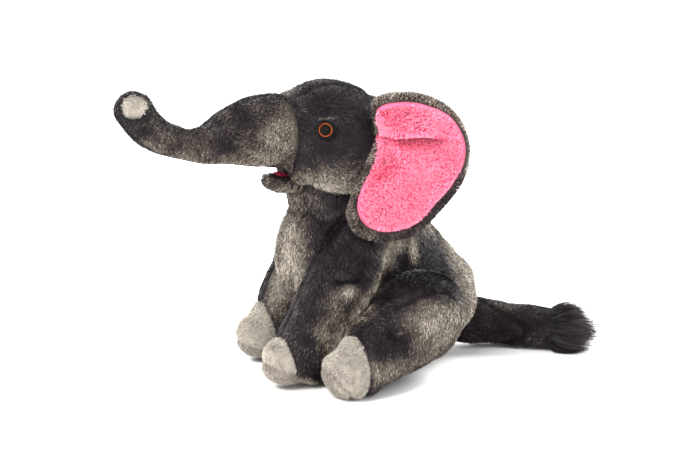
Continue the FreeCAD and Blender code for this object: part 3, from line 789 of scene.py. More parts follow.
class ELEPHANT_OT_head(bpy.types.Operator):
    """Sews and fills the head and the trunk, and cuts them into their panels"""

    bl_idname = "elephant.head"
    bl_label = "Head and trunk"

    def execute(self, context):
        sewing = context.scene.elephant_sewing
        pile = context.scene.elephant_pile
        skull, lift, curl = PIVOT["head_nod"], PIVOT["trunk_lift"], PIVOT["trunk_curl"]
        points, faces = one_skin(face_forms(), sewing.grain, 9)
        folds = [(from_joint("trunk_curl", [(-14, -10, 8), (0, -11, 17), (14, -10, 8)]), 0.9, 5.0)]
        for _, side in SIDES:
            folds.append((mirrored(from_joint("head_nod", [(36, -28, -4), (38, -8, -16), (36, 14, -26)]), side), 1.6,
                          6.0))
        points = filled(points, faces, sewing.lumps * 0.7, 13, folds)
        seam_y, middle_y = skull[1] - 45, curl[1] + 24
        trunk_end = skull + (14, -180, 35)
        end_way = unit(np.array([10.0, -4.0, 6.0]))
        end_place = trunk_end + end_way * 9.5
        gusset = 12.0
        under = unit(np.array([0.0, 0.16, -1.0]))
        under_place = lift + (0, -15, -20.5)
        tip_way = unit(np.array([65.0, 15.0, 0.0]))
        cuts = [((0, seam_y, 0), (0, 1, 0)), ((0, middle_y, 0), (0, 1, 0)), (end_place, end_way),
                ((gusset, 0, 0), (1, 0, 0)), ((-gusset, 0, 0), (1, 0, 0)), (under_place, under), (curl, tip_way)]

        def name_of(middle):
            left = middle[:, 0] > 0
            names = np.where(left, "head_left_panel", "head_right_panel").astype("U32")
            names[(np.abs(middle[:, 0]) < gusset) & (middle[:, 2] > skull[2] - 10)] = "head_gusset"
            on_trunk = middle[:, 1] < seam_y
            names[on_trunk] = np.where(left, "trunk_left_panel", "trunk_right_panel")[on_trunk]
            names[on_trunk & ((middle - under_place) @ under > 0)] = "trunk_underside"
            on_tip = middle[:, 1] < middle_y
            over = (middle - curl) @ tip_way > 0
            names[on_tip] = np.where(over, "trunk_tip_left_panel", "trunk_tip_right_panel")[on_tip]
            names[on_tip & ((middle - end_place) @ end_way > 0)] = "trunk_end_disc"
            return names

        panels, points, faces, seams = sewn_panels(
            points, faces, cuts, name_of, sewing, lambda spots: np.abs(spots[:, 1] - middle_y) < 1.5)
        eyes = [eye_place(side) for _, side in SIDES]

        def face_print(spots):
            return dye_and_shading(on_left(spots), 0.08, [
                ((0, -126, 238), (13, 12, 10), 0.5), ((28, -88, 160), (34, 40, 19), 0.74),
                ((12, -112, 172), (20, 24, 16), 0.3), ((40, -112, 186), (12, 12, 9), 0.14),
                (eyes[0] + (0, 1, 9.5), (8, 8, 2.4), 0.5), ((30, -118, 236), (12, 10, 12), 0.1),
                ((20, -50, 232), (20, 14, 14), 0.2)], 15, 0.07)

        def trunk_print_and_highlight(spots):
            # the first three spots are lighter bands on the trunk's sides, partly print and partly painted highlight
            return dye_and_shading(on_left(spots), 0.37, [
                ((28, -148, 214), (20, 34, 9), 0.16), ((24, -140, 190), (24, 34, 7), 0.12),
                ((26, -118, 192), (16, 12, 20), 0.12), ((0, -160, 240), (15, 60, 9), -0.3),
                ((0, -228, 222), (18, 40, 7), -0.2),
                (trunk_end, (24, 16, 22), -0.22), ((14, -205, 190), (14, 46, 8), 0.14),
                ((16, -190, 207), (14, 24, 10), -0.1)], 17, 0.09)

        trunk_bend = ("trunk", (0, seam_y + 2, lift[2]), (0, seam_y - 26, lift[2]))
        tip_bend = ("trunk_tip", curl + (0, 17, 1), curl + (0, -15, 2))
        for node, panel in panels.items():
            if node.startswith("trunk_tip") or node == "trunk_end_disc":
                body, bend = "trunk", tip_bend
                also = ("trunk_tip_stuffing",) if node == "trunk_tip_left_panel" else ()
            elif node.startswith("trunk"):
                body, bend = "head", trunk_bend
                also = ("trunk_stuffing",) if node == "trunk_left_panel" else ()
            else:
                body, bend = "head", None
                also = ("head_stuffing",) if node == "head_gusset" else ()
            if node == "trunk_end_disc":
                cream = cream_velboa()
                spots, corners = panel
                proud = (spots - end_place) @ end_way
                spots = spots - end_way * (proud * 0.45)[:, None]
                skin_piece(node, (spots, corners), cream, body, bend, along=0.6, tone=0.5)
                roots, ups = scatter(spots, corners, 3.2, 71)
                hang(pile_piece("trunk_end_pile", roots, ups, (0, 0.3, -1), pile.cream_length / MM, 0.42, 0.7,
                                0.5 + 0.3 * ripple(roots, 8, 3), cream, 72, 0.6), body, bend)
            else:
                skin_piece(node, panel, mottled_plush(), body, bend, also=also,
                           tone=trunk_print_and_highlight if node.startswith("trunk") else face_print)
        regions = {}
        for face in faces:
            middle = points[face].mean(axis=0)
            if middle[1] < middle_y and (middle - end_place) @ end_way > 0:
                continue
            area = "head" if middle[1] > seam_y else ("trunk" if middle[1] > middle_y else "trunk_tip")
            regions.setdefault(area, []).append(face)
        bare = 8.2  # the cloth under an eye's stitches bears no pile
        hangs = {"head": ("head", None), "trunk": ("head", trunk_bend), "trunk_tip": ("trunk", tip_bend)}
        for number, (area, chosen) in enumerate(regions.items()):
            roots, ups = scatter(points, chosen, pile.density * (1.25 if area != "head" else 1.15), 33 + number)
            shown = np.ones(len(roots), bool)
            for eye in eyes:
                shown &= np.linalg.norm(roots - eye, axis=1) > bare
            roots, ups = roots[shown], ups[shown]
            tone = (face_print if area == "head" else trunk_print_and_highlight)(roots)
            nap = (0, 0.8, -0.6) if area == "head" else (0, -0.6, -0.8)
            made = plush_pile(area + "_pile", roots, ups, nap, tone, 43 + number, seams,
                              pile.length * (0.85 if area == "head" else 0.8))
            hang(made, *hangs[area])
        return {"FINISHED"}


def eye_place(side):
    """The middle of an eye, on the face's skin."""
    way = unit(mirrored((38.0, -23.0, 10.0), side))
    return PIVOT["head_nod"] + way * 43.2 + mirrored((0.0, -0.5, 1.4), side)


class ELEPHANT_OT_eyes(bpy.types.Operator):
    """Embroiders the eyes in satin stitch: a black patch, an orange ring and a black pupil"""

    bl_idname = "elephant.eyes"
    bl_label = "Eyes"

    def execute(self, context):
        dyes = context.scene.elephant_dyes
        for name, side in SIDES:
            place = eye_place(side)
            way = unit(mirrored((38.0, -20.0, 11.0), side))
            across = unit(np.cross((0, 0, 1.0), way))
            rise = np.cross(way, across)
            for node, colour, inner, outer, high, threads in (
                    ("eye_patch", dyes.black, 5.2, 8.4, 0.9, 92), ("iris", dyes.orange, 4.6, 5.7, 1.5, 64),
                    ("pupil", dyes.black, 0.0, 4.7, 1.7, 46)):
                material = satin_thread({"eye_patch": "black_rayon_thread", "iris": "orange_rayon_thread",
                                         "pupil": "black_rayon_thread"}[node], colour)
                points, faces = [], []
                angle = np.linspace(0, 2 * math.pi, 6, endpoint=False)
                for i in range(threads):
                    turn = 2 * math.pi * i / threads
                    thick = max(0.26, math.pi * (inner + outer) / threads / 2 * 0.62)
                    shares = np.linspace(inner if inner else 0.15, outer, 6)
                    for k, share in enumerate(shares):
                        dome = high + (1.1 - 0.028 * share ** 2) + 0.5 * math.sin(math.pi * k / 5)
                        out = across * math.cos(turn) + rise * math.sin(turn)
                        aside = across * -math.sin(turn) + rise * math.cos(turn)
                        narrow = 1 if inner else 0.35 + 0.65 * share / outer
                        size = thick * (0.55 if k in (0, 5) else 1.0) * narrow
                        points.append(place + out * share + way * dome + (
                            aside * np.cos(angle)[:, None] + way * np.sin(angle)[:, None]) * size)
                        if k:
                            low = (len(points) - 2) * 6
                            for j in range(6):
                                m = (j + 1) % 6
                                faces.append((low + j, low + m, low + 6 + m, low + 6 + j))
                    faces.append(tuple((len(points) - 6) * 6 + j for j in range(6))[::-1])
                    faces.append(tuple((len(points) - 1) * 6 + j for j in range(6)))
                made = mesh_piece(name + "_" + node + "_stitches", np.vstack(points), faces, material)
                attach(made, "head")
                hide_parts(name + "_" + node)
        return {"FINISHED"}


class ELEPHANT_OT_mouth(bpy.types.Operator):
    """Sews the lower jaw and its crimson lining"""

    bl_idname = "elephant.mouth"
    bl_label = "Mouth"

    def execute(self, context):
        sewing = context.scene.elephant_sewing
        pile = context.scene.elephant_pile
        lip = stuffed_tube(from_joint("jaw_open", [
            (0, 9, -4, 14, 7), (0, 0, -3, 14, 6.5), (0, -12, -1, 15, 6.5), (0, -25, 0, 13, 6.5), (0, -33, 3, 9, 5.5)]))
        points, faces = one_skin([lip], sewing.grain * 0.7, 4)
        points = filled(points, faces, sewing.lumps * 0.4, 51)
        skin_piece("lower_jaw", (points, faces.tolist()), mottled_plush(), "jaw")
        roots, ups = scatter(points, faces.tolist(), pile.density * 1.3, 52)
        shown = ups[:, 2] < 0.75
        tone = dye_and_shading(roots[shown], 0.52, [], 53, 0.2)
        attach(plush_pile("jaw_pile", roots[shown], ups[shown], (0, -0.7, -0.5), tone, 54, None,
                           pile.length * 1.4), "jaw")
        fleece = dyed_pile("brushed_crimson_fleece", linear("#8e1034"), context.scene.elephant_dyes.crimson, 0.8,
                           0.1, 0.3)
        tongue = stuffed_tube(from_joint("jaw_open", [
            (0, 2, -2, 6, 3), (0, -14, 1, 7.5, 3.2), (0, -23, 4.5, 6, 3), (0, -28, 6.5, 4, 2.4)]))
        points, faces = one_skin([tongue], sewing.grain * 0.6, 3)
        skin_piece("mouth_lining", (points, faces.tolist()), fleece, "jaw", along=0.7, tone=0.5)
        roots, ups = scatter(points, faces.tolist(), 3.0, 55)
        made = pile_piece("mouth_fleece", roots, ups, (0, -1, 0.2), 1.4, 0.4, 0.7, 0.5, fleece,
                          56, 0.8)
        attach(made, "jaw")
        return {"FINISHED"}


EAR_EDGE = (
    # x, y, z from the ear's root, then the width of the plush rim that shows round the lining
    (3, -4, 35, 7), (15, 20, 39, 7), (22, 46, 30, 6), (30, 60, 14, 3), (34, 66, -11, 2), (33, 59, -37, 4),
    (28, 43, -60, 6), (22, 22, -79, 7), (18, -4, -84, 8), (17, -27, -77, 9), (16, -37, -60, 9), (13, -31, -44, 7),
    (3, -18, -30, 6), (-8, -6, -17, 5), (-10, 0, 0, 4), (-11, -2, 19, 5),
)


EAR_HEART = (20.0, 18.0, -22.0)  # the ear's middle, from its root


def over_pleat(spots):
    """Height of each point over the ear's pleat, and how strongly the pleat is pressed there, fading along it."""
    y, z = spots[:, 1], spots[:, 2]
    return z - (4.5 - 0.0035 * (y - 18) ** 2), 1 / (1 + np.exp((y - 42) / 4))


def ear_sheet(side):
    """The ear's middle surface as a grid, its directions out, and the share of it that the lining covers."""
    edge = np.array(EAR_EDGE, float)
    if side < 0:
        # the right ear has flopped lower than the left
        edge[:, 2] = np.where(edge[:, 2] > 0, edge[:, 2] * 0.56, edge[:, 2])
    edge = eased(edge, 8, closed=True)
    heart = np.array(EAR_HEART)
    shares = np.linspace(0.0, 1.0, 57)[:, None, None]
    spoke = edge[None, :, :3] - heart
    grid = heart + np.concatenate([spoke[..., :1] * shares ** 2.2, spoke[..., 1:] * shares], axis=2)
    flat = grid.reshape(-1, 3)
    flat[:, 0] += 1.1 * ripple(flat, 30, 61 + side) + 0.5 * ripple(flat, 11, 63 + side)
    down = np.gradient(grid, axis=0)
    onward = np.roll(grid, -1, axis=1) - np.roll(grid, 1, axis=1)
    out = np.cross(onward, down)
    out[0] = out[1].mean(axis=0)
    out = unit(out)
    out *= np.sign(out[14, :, :1].mean())
    above, within = over_pleat(flat)
    over = 1 / (1 + np.exp(-above / 0.6))
    flat[:, 0] += within * (8.5 * over * np.exp(-(above / 14) ** 2) - 4.5 * (1 - over) * np.exp(-(above / 7) ** 2))
    cover = 1 - edge[:, 3] / np.linalg.norm(spoke[0], axis=1)
    return grid, out, cover


def faced_out(mesh):
    """Turns a closed mesh's faces outwards, and returns them."""
    bm = bmesh.new()
    bm.from_mesh(mesh)
    bmesh.ops.recalc_face_normals(bm, faces=bm.faces)
    bm.to_mesh(mesh)
    faces = [[v.index for v in f.verts] for f in bm.faces]
    bm.free()
    return faces


def pancake(grid, out, profile):
    """A closed cushion over the ear's surface, from a profile of (share outwards, height) rows for every spoke."""
    rings, around = [], grid.shape[1]
    steps = grid.shape[0] - 1
    for share, high in profile:
        share = np.broadcast_to(share, around)
        place = np.clip(share, 0, 1) * steps
        low = np.minimum(place.astype(int), steps - 1)
        part = (place - low)[:, None]
        column = np.arange(around)
        spot = grid[low, column] * (1 - part) + grid[low + 1, column] * part
        way = unit(out[low, column] * (1 - part) + out[low + 1, column] * part)
        rings.append(spot + way * high)
    first, last = rings[0].mean(axis=0), rings[-1].mean(axis=0)
    points = np.vstack(rings[1:-1] + [first[None], last[None]])
    faces, count = [], len(rings) - 2
    for i in range(count - 1):
        for j in range(around):
            k = (j + 1) % around
            faces.append([i * around + j, (i + 1) * around + j, (i + 1) * around + k, i * around + k])
    for j in range(around):
        k = (j + 1) % around
        faces.append([count * around, j, k])
        faces.append([count * around + 1, (count - 1) * around + k, (count - 1) * around + j])
    return points, faces


class ELEPHANT_OT_ears(bpy.types.Operator):
    """Sews the ears: a plush back that rolls over the edge, and a pink lining"""

    bl_idname = "elephant.ears"
    bl_label = "Ears"

    def execute(self, context):
        pile = context.scene.elephant_pile
        pink = dyed_pile("fluffy_pink_plush", linear("#de2f62"), context.scene.elephant_dyes.pink, 0.7, 0.1, 0.4)
        for name, side in SIDES:
            root = PIVOT[name + "_ear_flap"]
            grid, out, cover = ear_sheet(side)
            spread = np.linspace(0, 1, 26)
            back = [((cover - 0.06) * share, 0.4) for share in spread] + [(cover - 0.03, 0.8), (cover, 2.2)]
            for turn in np.linspace(0.15, 0.85, 5) * math.pi:
                back.append((cover + (0.99 - cover) * (0.4 + 0.6 * math.sin(turn)), 3.4 * math.cos(turn) - 0.6))
            back += [((cover - 0.04) * share, -4.4) for share in spread[::-1]]
            lining = [((cover - 0.08) * share, 1.0) for share in spread] + [
                (cover - 0.01, 2.2), (cover - 0.05, 3.0)] + [((cover - 0.1) * share, 3.2) for share in spread[::-1]]
            for node, profile, material, slot in (
                    ("_ear_back", back, mottled_plush(), "charcoal_plush"),
                    ("_ear_lining", lining, pink, "pink_plush")):
                points, faces = pancake(grid, out, profile)
                points = mirrored(points, side) + root
                made = mesh_piece(name + node + "_cloth", points, faces, material, 0.35, 0.4)
                faces = faced_out(made.data)
                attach(made, name + "_ear")
                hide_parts(name + node)
                if slot == "pink_plush":
                    # only the front of the lining bears pile, so none pierces the ear's back
                    around = grid.shape[1]
                    caps = len(faces) - 2 * around
                    faces = faces[len(spread) * around:caps] + faces[caps + 1::2]
                thick = 1.25 if slot == "pink_plush" else 1.2
                roots, ups = scatter(points, faces, pile.density * thick, 64 + side)
                local = mirrored(roots - root, side)
                way = mirrored(out[20:].reshape(-1, 3).mean(axis=0), side)
                if slot == "pink_plush":
                    shown = ups @ way > 0.1
                    roots, ups, local = roots[shown], ups[shown], local[shown]
                    above, within = over_pleat(local)
                    # painted shade in the pleat's crease and a painted highlight on the bulge above it; the tone is
                    # also lighter towards the lining's edge
                    tone = (0.5 + 0.14 * ripple(roots, 16, 66)
                            - 1.3 * within * np.exp(-((above + 1.0) / 1.8) ** 2)
                            + 0.3 * within * np.exp(-((above - 9) / 7) ** 2)
                            + 0.4 * np.exp(past_lining(local, grid, cover) / 8))
                    crease = within * np.exp(-((above + 1.0) / 2.4) ** 2)
                    # a real tuft is about 0.5 mm thick; drawn at 1.15 mm, so that it shows
                    made = pile_piece(name + "_lining_pile", roots, ups, (0, 0.3, -0.8),
                                      pile.pink_length / MM * (1 - 0.6 * crease[:, None]), 1.15, 0.5, tone, pink,
                                      68, 0.7, 0.1, speckle=0.36)
                else:
                    shown = (ups @ way <= -0.25) | (past_lining(local, grid, cover) >= -0.5)
                    roots, ups = roots[shown], ups[shown]
                    tone = dye_and_shading(roots, 0.46, [
                        (root + mirrored((24, 36, -66), side), (24, 40, 26), -0.34),
                        (root + mirrored((18, 8, 40), side), (24, 40, 16), 0.12),
                        (root + mirrored((14, -36, -52), side), (16, 14, 22), 0.1)], 69, 0.16)
                    outward = unit(roots - root - mirrored(EAR_HEART, side))
                    made = plush_pile(name + "_ear_pile", roots, ups, outward, tone, 70, None, pile.length * 0.85)
                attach(made, name + "_ear")
        return {"FINISHED"}


def past_lining(local, grid, cover):
    """How far each point lies outside the lining's edge, in millimetres, negative inside."""
    heart = grid[0, 0]
    edge = grid[-1, :, 1:] - heart[1:]
    angle = np.arctan2(edge[:, 1], edge[:, 0])
    order = np.argsort(angle)
    reach = np.linalg.norm(edge, axis=1) * cover
    here = local[:, 1:] - heart[1:]
    limit = np.interp(np.arctan2(here[:, 1], here[:, 0]), angle[order], reach[order], period=2 * math.pi)
    return np.linalg.norm(here, axis=1) - limit


def front_leg(pivot, side):
    """A front leg's forms, and how it is cut, folded and split."""
    forms = [
        stuffed_tube(mirrored(from_joint("left_front_leg_swing", [
            (-8, 14, 26, 18, 22), (-3, 5, 10, 22, 28), (0, -6, -12, 23, 30), (1, -19, -35, 22.5, 28.5),
            (1, -32, -58, 22.5, 26.5), (0, -43, -75, 22.5, 26), (0, -52, -87, 22, 25.5)]), side), crown=0.42),
        stuffed_ball(pivot + mirrored((0, -59, -82), side), (21, 21, 19), 20)]
    if side < 0:
        # the right leg hangs a little further back than the left
        forms = [(points + (0, 9, 0) * np.clip((pivot[2] + 16 - points[:, 2:]) / 36, 0, 1), faces)
                 for points, faces in forms]
    return {
        "forms": forms, "sole_way": unit(np.array([0.0, -0.38, -0.925])),
        "sole": pivot + mirrored((0, -56, -90), side),
        "toe_way": unit(np.array([0.0, -1.0, -0.22])), "toe": pivot + (0, -61 if side > 0 else -44, -71),
        "folds": [
            (mirrored(from_joint("left_front_leg_swing", [(24, 0, -12), (25, -9, -13), (22, -22, -11)]), side),
             3.8, 3.0),
            (mirrored(from_joint("left_front_leg_swing", [(22, -14, -60), (24, -30, -52)]), side), 1.6, 4.0)],
        "split": pivot[0], "nap": (0, -0.5, -0.87), "bend": (pivot + (0, 14, 30), pivot + (0, -4, -10))}


def hind_leg(pivot, side):
    """A hind leg's forms, and how it is cut, folded and split."""
    # the right leg is drawn up a little more than the left
    reach = 1.0 if side > 0 else 0.87
    return {
        "forms": [
            stuffed_ball(pivot + mirrored((1, -10, 3), side), (35, 41, 38)),
            stuffed_tube(mirrored(from_joint("left_hind_leg_swing", [
                (4, -14, 1, 33, 36), (13, -40 * reach, -9, 30, 32), (21, -61 * reach, -18, 27, 28),
                (26, -79 * reach, -28.5, 25, 21.5), (28, -94 * reach, -32, 23.5, 18.5)]), side), crown=0.62)],
        "sole_way": unit(np.array([0.0, -0.8, -0.6])), "sole": pivot + mirrored((28, -98 * reach, -36), side),
        "toe_way": unit(np.array([0.1 * side, -1.0, 0.0])), "toe": pivot + mirrored((28, -80 * reach, -28), side),
        "folds": [
            (mirrored(from_joint("left_hind_leg_swing", [(36, -20, -34), (40, -40, -18), (38, -52, 2)]), side),
             2.4, 6.0),
            (mirrored(from_joint("left_hind_leg_swing", [(38, 14, 26), (40, 2, 20)]), side), 1.2, 7.0)],
        "split": pivot[0] + side * 26, "nap": (0.2 * side, -0.5, -0.8), "bend": None}


class ELEPHANT_OT_legs(bpy.types.Operator):
    """Sews and fills the legs, with their cream toe caps and soles"""

    bl_idname = "elephant.legs"
    bl_label = "Legs"

    def execute(self, context):
        for number, (name, side) in enumerate(SIDES):
            for hind, cut_of in enumerate((front_leg, hind_leg)):
                leg = name + ("_hind" if hind else "_front")
                self.sew(context, leg, side, cut_of(PIVOT[leg + "_leg_swing"], side), number, hind)
        return {"FINISHED"}

    def sew(self, context, leg, side, cut, number, hind):
        """Sews one leg from its forms and cuts, and covers it with pile."""
        sewing = context.scene.elephant_sewing
        pile = context.scene.elephant_pile
        cream = cream_velboa()
        body = leg + "_leg"
        toe, toe_way, sole, sole_way, split = (cut[part] for part in ("toe", "toe_way", "sole", "sole_way", "split"))
        held = "torso" if cut["bend"] else body
        bend = (body, *cut["bend"]) if cut["bend"] else None

        points, faces = one_skin(cut["forms"], sewing.grain, 8)
        points = filled(points, faces, sewing.lumps, 80 + number * 7 + hind, cut["folds"])
        # the foot's crown is a little flattened towards its sole, and rests on the floor
        points = points - sole_way * (np.maximum((points - sole) @ sole_way, 0) * 0.12)[:, None]
        points[:, 2] = np.maximum(points[:, 2], 2.4 - 1.2 * np.exp(-np.maximum(points[:, 2], 0)))

        def name_of(middle):
            outer = (middle[:, 0] - split) * side > 0
            names = np.where(outer, body + "_outer", body + "_inner").astype("U40")
            names[(middle - toe) @ toe_way > 0] = leg + "_toe_cap"
            names[(middle - sole) @ sole_way > 0] = leg + "_sole"
            return names

        def print_of(spots):
            return coat_print_and_shading(spots, 92 + number * 3 + hind)

        cuts = [(toe, toe_way), (sole, sole_way), ((split, 0, 0), (1, 0, 0))]
        panels, points, faces, seams = sewn_panels(points, faces, cuts, name_of, sewing)
        for node, panel in panels.items():
            if node.endswith(("sole", "toe_cap")):
                # the sole's skin is painted darker than the cap's: painted shade on the underside
                skin_piece(node, panel, cream, held, bend, along=0.6,
                           tone=0.1 if node.endswith("sole") else 0.6)
            else:
                skin_piece(node, panel, mottled_plush(), held, bend, tone=print_of,
                           also=(body + "_stuffing",) if node.endswith("outer") else ())

        roots, ups = scatter(points, faces, pile.density, 90 + number)
        light = ((roots - toe) @ toe_way > 0) | ((roots - sole) @ sole_way > 0)
        floor = (ups[:, 2] < -0.7) & (roots[:, 2] < 4)
        plain = ~light & ~floor
        hang(plush_pile(body + "_pile", roots[plain], ups[plain], cut["nap"], print_of(roots[plain]), 94 + number,
                        seams), held, bend)

        roots, ups = scatter(points, faces, 3.0, 96 + number)
        light = ((roots - toe) @ toe_way > 0.5) | ((roots - sole) @ sole_way > 0.5)
        light &= ~((ups[:, 2] < -0.7) & (roots[:, 2] < 3))
        roots, ups = roots[light], ups[light]
        near = beside(seams, roots, 1.6)
        # the soles are painted darker, as painted shade on the underside, and the seams darker, as painted shade in
        # their grooves
        under = 1 / (1 + np.exp(-((roots - sole) @ sole_way) / 0.6))
        tone = 0.7 - 0.55 * under - 0.9 * near + 0.25 * ripple(roots, 12, 98) + 0.3 * ripple(roots, 3, 99)
        hang(pile_piece(body + "_cream_pile", roots, ups, (0, -0.3, -1),
                        pile.cream_length / MM * (1 - 0.6 * near[:, None]), 0.62, 0.7, tone, cream,
                        100 + number, 0.9, speckle=0.34), held, bend)


class ELEPHANT_OT_tail(bpy.types.Operator):
    """Sews and fills the tail, and ties its tuft of long hair"""

    bl_idname = "elephant.tail"
    bl_label = "Tail and tuft"

    def execute(self, context):
        sewing = context.scene.elephant_sewing
        pile = context.scene.elephant_pile
        pivot = PIVOT["tail_swing"]
        tail = stuffed_tube(from_joint("tail_swing", [
            (-4, -14, -1, 18, 20), (1, 6, -4, 18, 19.5), (10, 24, -7, 18, 18.5), (21, 41, -8, 17.5, 18),
            (32, 53, -8, 17, 18), (38, 59, -8, 15.5, 17)]), crown=0.5)
        points, faces = one_skin([tail], sewing.grain, 5)
        points = filled(points, faces, sewing.lumps * 0.8, 121)
        points[:, 2] = np.maximum(points[:, 2], 2.6)
        seam = unit(np.array([30.0, -36.0, 0.0]))
        cuts = [(pivot, seam)]

        def name_of(middle):
            return np.where((middle - pivot) @ seam > 0, "tail_left_panel", "tail_right_panel")

        panels, points, faces, seams = sewn_panels(points, faces, cuts, name_of, sewing)
        bend = ("tail", pivot + (0, -8, 0), pivot + (6, 16, 0))

        def print_of(spots):
            return dye_and_shading(spots, 0.15, [(pivot + (14, 24, 14), (16, 22, 9), 0.2),
                                     (pivot + (24, 20, -18), (20, 30, 8), 0.14)], 123, 0.08)

        for node, panel in panels.items():
            skin_piece(node, panel, mottled_plush(), "torso", bend, tone=print_of,
                       also=("tail_stuffing",) if "left" in node else ())
        roots, ups = scatter(points, faces, pile.density * 1.1, 122)
        shown = ~((ups[:, 2] < -0.7) & (roots[:, 2] < 4))
        tone = print_of(roots[shown])
        hang(plush_pile("tail_pile", roots[shown], ups[shown], (0.5, 0.8, 0), tone, 124, seams), "torso", bend)
        self.tie_tuft(context, pivot + (38, 57, -8), unit(np.array([14.0, 44.0, -6.0])))
        return {"FINISHED"}

    def tie_tuft(self, context, place, way):
        """Long straight locks that spread from the tail's end and gather into points."""
        pile = context.scene.elephant_pile
        draw = draws(125)
        count = pile.tuft_hairs
        across = unit(np.cross(way, (0, 0, 1.0)))
        rise = np.cross(across, way)
        reach = np.sqrt(draw.uniform(size=count))
        turn = draw.uniform(0, 2 * math.pi, count)
        aside = across * np.cos(turn)[:, None] + rise * np.sin(turn)[:, None]
        start = place + aside * (reach * 16)[:, None] + way * (6 * (1 - reach ** 2) - 3)[:, None]
        long = draw.uniform(24, 42, count) * (1 - 0.3 * reach ** 2) + 7 * (reach < 0.45)
        locks = place + (across * draw.normal(scale=7.5, size=(46, 1)) + rise * draw.normal(
            scale=7.5, size=(46, 1))) + way * draw.uniform(34, 44, (46, 1))
        home = start + way * long[:, None] + aside * (reach * draw.uniform(0, 10, count))[:, None]
        gap = np.linalg.norm(home[:, None] - locks[None], axis=2)
        chosen = locks[np.argmin(gap, axis=1)]
        tip = home * 0.7 + chosen * 0.3 + draw.normal(scale=2.6, size=(count, 3))
        middle = start + (tip - start) * 0.4 + aside * (reach * draw.uniform(6, 17, count))[:, None]
        tip[:, 2] = np.maximum(tip[:, 2], 1.2)
        points = []
        side = unit(np.cross(tip - start, draw.normal(size=(count, 3))))
        half = draw.uniform(0.16, 0.34, (count, 1))
        for share in (0.0, 0.25, 0.5, 0.75, 1.0):
            spot = start * (1 - share) ** 2 + middle * 2 * share * (1 - share) + tip * share ** 2
            spot[:, 2] = np.maximum(spot[:, 2], 1.0)
            if share < 1:
                points += [spot - side * half * (1 - share * 0.7), spot + side * half * (1 - share * 0.7)]
            else:
                points.append(spot)
        points = np.stack(points, axis=1).reshape(-1, 3)
        faces = []
        for low in range(0, count * 9, 9):
            faces += [[low, low + 1, low + 3, low + 2], [low + 2, low + 3, low + 5, low + 4],
                      [low + 4, low + 5, low + 7, low + 6], [low + 6, low + 7, low + 8]]
        tone = np.repeat(np.clip(0.5 + draw.normal(scale=0.3, size=count), 0, 1), 9)
        along = np.tile([0, 0, 0.25, 0.25, 0.5, 0.5, 0.75, 0.75, 1.0], count)
        hair = dyed_pile("long_black_fibre_hair", linear("#080506"), linear("#2a2021"), 0.55, 0.0, 0.5)
        made = mesh_piece("tail_tuft_hair", points, faces, hair, tone, along)
        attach(made, "tail")
        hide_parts("tail_tuft")


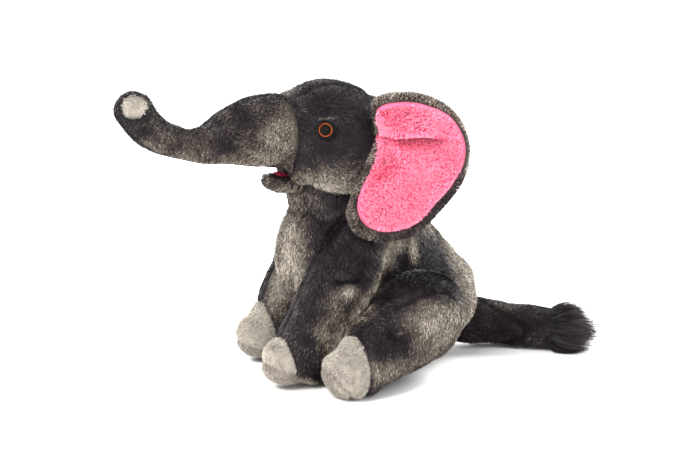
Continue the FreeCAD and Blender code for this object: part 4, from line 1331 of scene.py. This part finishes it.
class ELEPHANT_OT_stage(bpy.types.Operator):
    """Sets the pale floor, the soft lamps and the camera"""

    bl_idname = "elephant.stage"
    bl_label = "Stage"

    def execute(self, context):
        studio = context.scene.elephant_studio
        floor = bpy.data.meshes.new("studio_floor")
        ring = [(6 * math.cos(a), 6 * math.sin(a), 0) for a in np.linspace(0, 2 * math.pi, 64, endpoint=False)]
        floor.from_pydata(ring, [], [list(range(64))])
        floor.materials.append(plaster_sweep())
        ground = bpy.data.objects.new("studio_floor", floor)
        context.scene.collection.objects.link(ground)
        target = Vector((0.0, -0.070, 0.121))
        a, e = studio.azimuth, studio.elevation
        back = Vector((math.sin(a) * math.cos(e), -math.cos(a) * math.cos(e), math.sin(e)))
        aside = Vector((math.cos(a), math.sin(a), 0.0))
        lens = bpy.data.cameras.new("camera")
        lens.lens = studio.lens
        camera = bpy.data.objects.new("camera", lens)
        camera.location = target + back * studio.distance
        camera.rotation_euler = back.to_track_quat("Z", "Y").to_euler()
        context.scene.collection.objects.link(camera)
        context.scene.camera = camera
        for name, place, power, size in (
                ("key", -0.75 * aside + 0.9 * back + Vector((0, 0, 1.0)), studio.key, 0.9),
                ("fill", 0.9 * aside + 0.9 * back + Vector((0, 0, 0.5)), studio.key * 0.25, 1.2),
                ("rim", 0.9 * aside - 0.75 * back + Vector((0, 0, 0.9)), studio.rim, 0.7),
                ("hair", -0.6 * aside - 0.8 * back + Vector((0, 0, 0.9)), studio.rim * 0.6, 0.7)):
            lamp = bpy.data.lights.new(name, "AREA")
            lamp.energy = power
            lamp.size = size
            made = bpy.data.objects.new(name, lamp)
            made.location = target + place
            made.rotation_euler = place.to_track_quat("Z", "Y").to_euler()
            context.scene.collection.objects.link(made)
        world = bpy.data.worlds.new("pale_surround")
        world.use_nodes = True
        tree = world.node_tree
        seen = add(tree, "ShaderNodeLightPath")
        bright = add(tree, "ShaderNodeMapRange", {"To Min": studio.surround, "To Max": 1.0},
                     Value=seen.outputs["Is Camera Ray"])
        tree.nodes["Background"].inputs["Color"].default_value = (*linear("#ffffff"), 1.0)
        tree.links.new(bright.outputs["Result"], tree.nodes["Background"].inputs["Strength"])
        context.scene.world = world
        context.scene.view_settings.view_transform = "Standard"
        return {"FINISHED"}


class ELEPHANT_PT_panel(bpy.types.Panel):
    """Lists the elephant's settings and its pieces"""

    bl_idname = "ELEPHANT_PT_panel"
    bl_label = "Stuffed elephant"
    bl_space_type = "VIEW_3D"
    bl_region_type = "UI"
    bl_category = "Elephant"

    def draw(self, context):
        for group in SETTINGS:
            box = self.layout.box()
            for name in group.__annotations__:
                box.prop(getattr(context.scene, SETTINGS[group]), name)
        for operator in STEPS:
            self.layout.operator(operator.bl_idname)


SETTINGS = {
    ElephantDyes: "elephant_dyes", ElephantPile: "elephant_pile", ElephantSewing: "elephant_sewing",
    ElephantStudio: "elephant_studio",
}
STEPS = (
    ELEPHANT_OT_stage, ELEPHANT_OT_torso, ELEPHANT_OT_neck, ELEPHANT_OT_head, ELEPHANT_OT_eyes, ELEPHANT_OT_mouth,
    ELEPHANT_OT_ears, ELEPHANT_OT_legs, ELEPHANT_OT_tail,
)


def register():
    """Adds the settings, the operators and the panel."""
    for group, name in SETTINGS.items():
        bpy.utils.register_class(group)
        setattr(bpy.types.Scene, name, PointerProperty(type=group))
    for made in STEPS + (ELEPHANT_PT_panel,):
        bpy.utils.register_class(made)


def unregister():
    """Takes them away again."""
    for made in (ELEPHANT_PT_panel,) + STEPS[::-1]:
        bpy.utils.unregister_class(made)
    for group, name in SETTINGS.items():
        delattr(bpy.types.Scene, name)
        bpy.utils.unregister_class(group)


def main():
    """Builds every piece in order."""
    register()
    for step in STEPS:
        group, name = step.bl_idname.split(".")
        getattr(getattr(bpy.ops, group), name)()


if __name__ == "__main__":
    main()
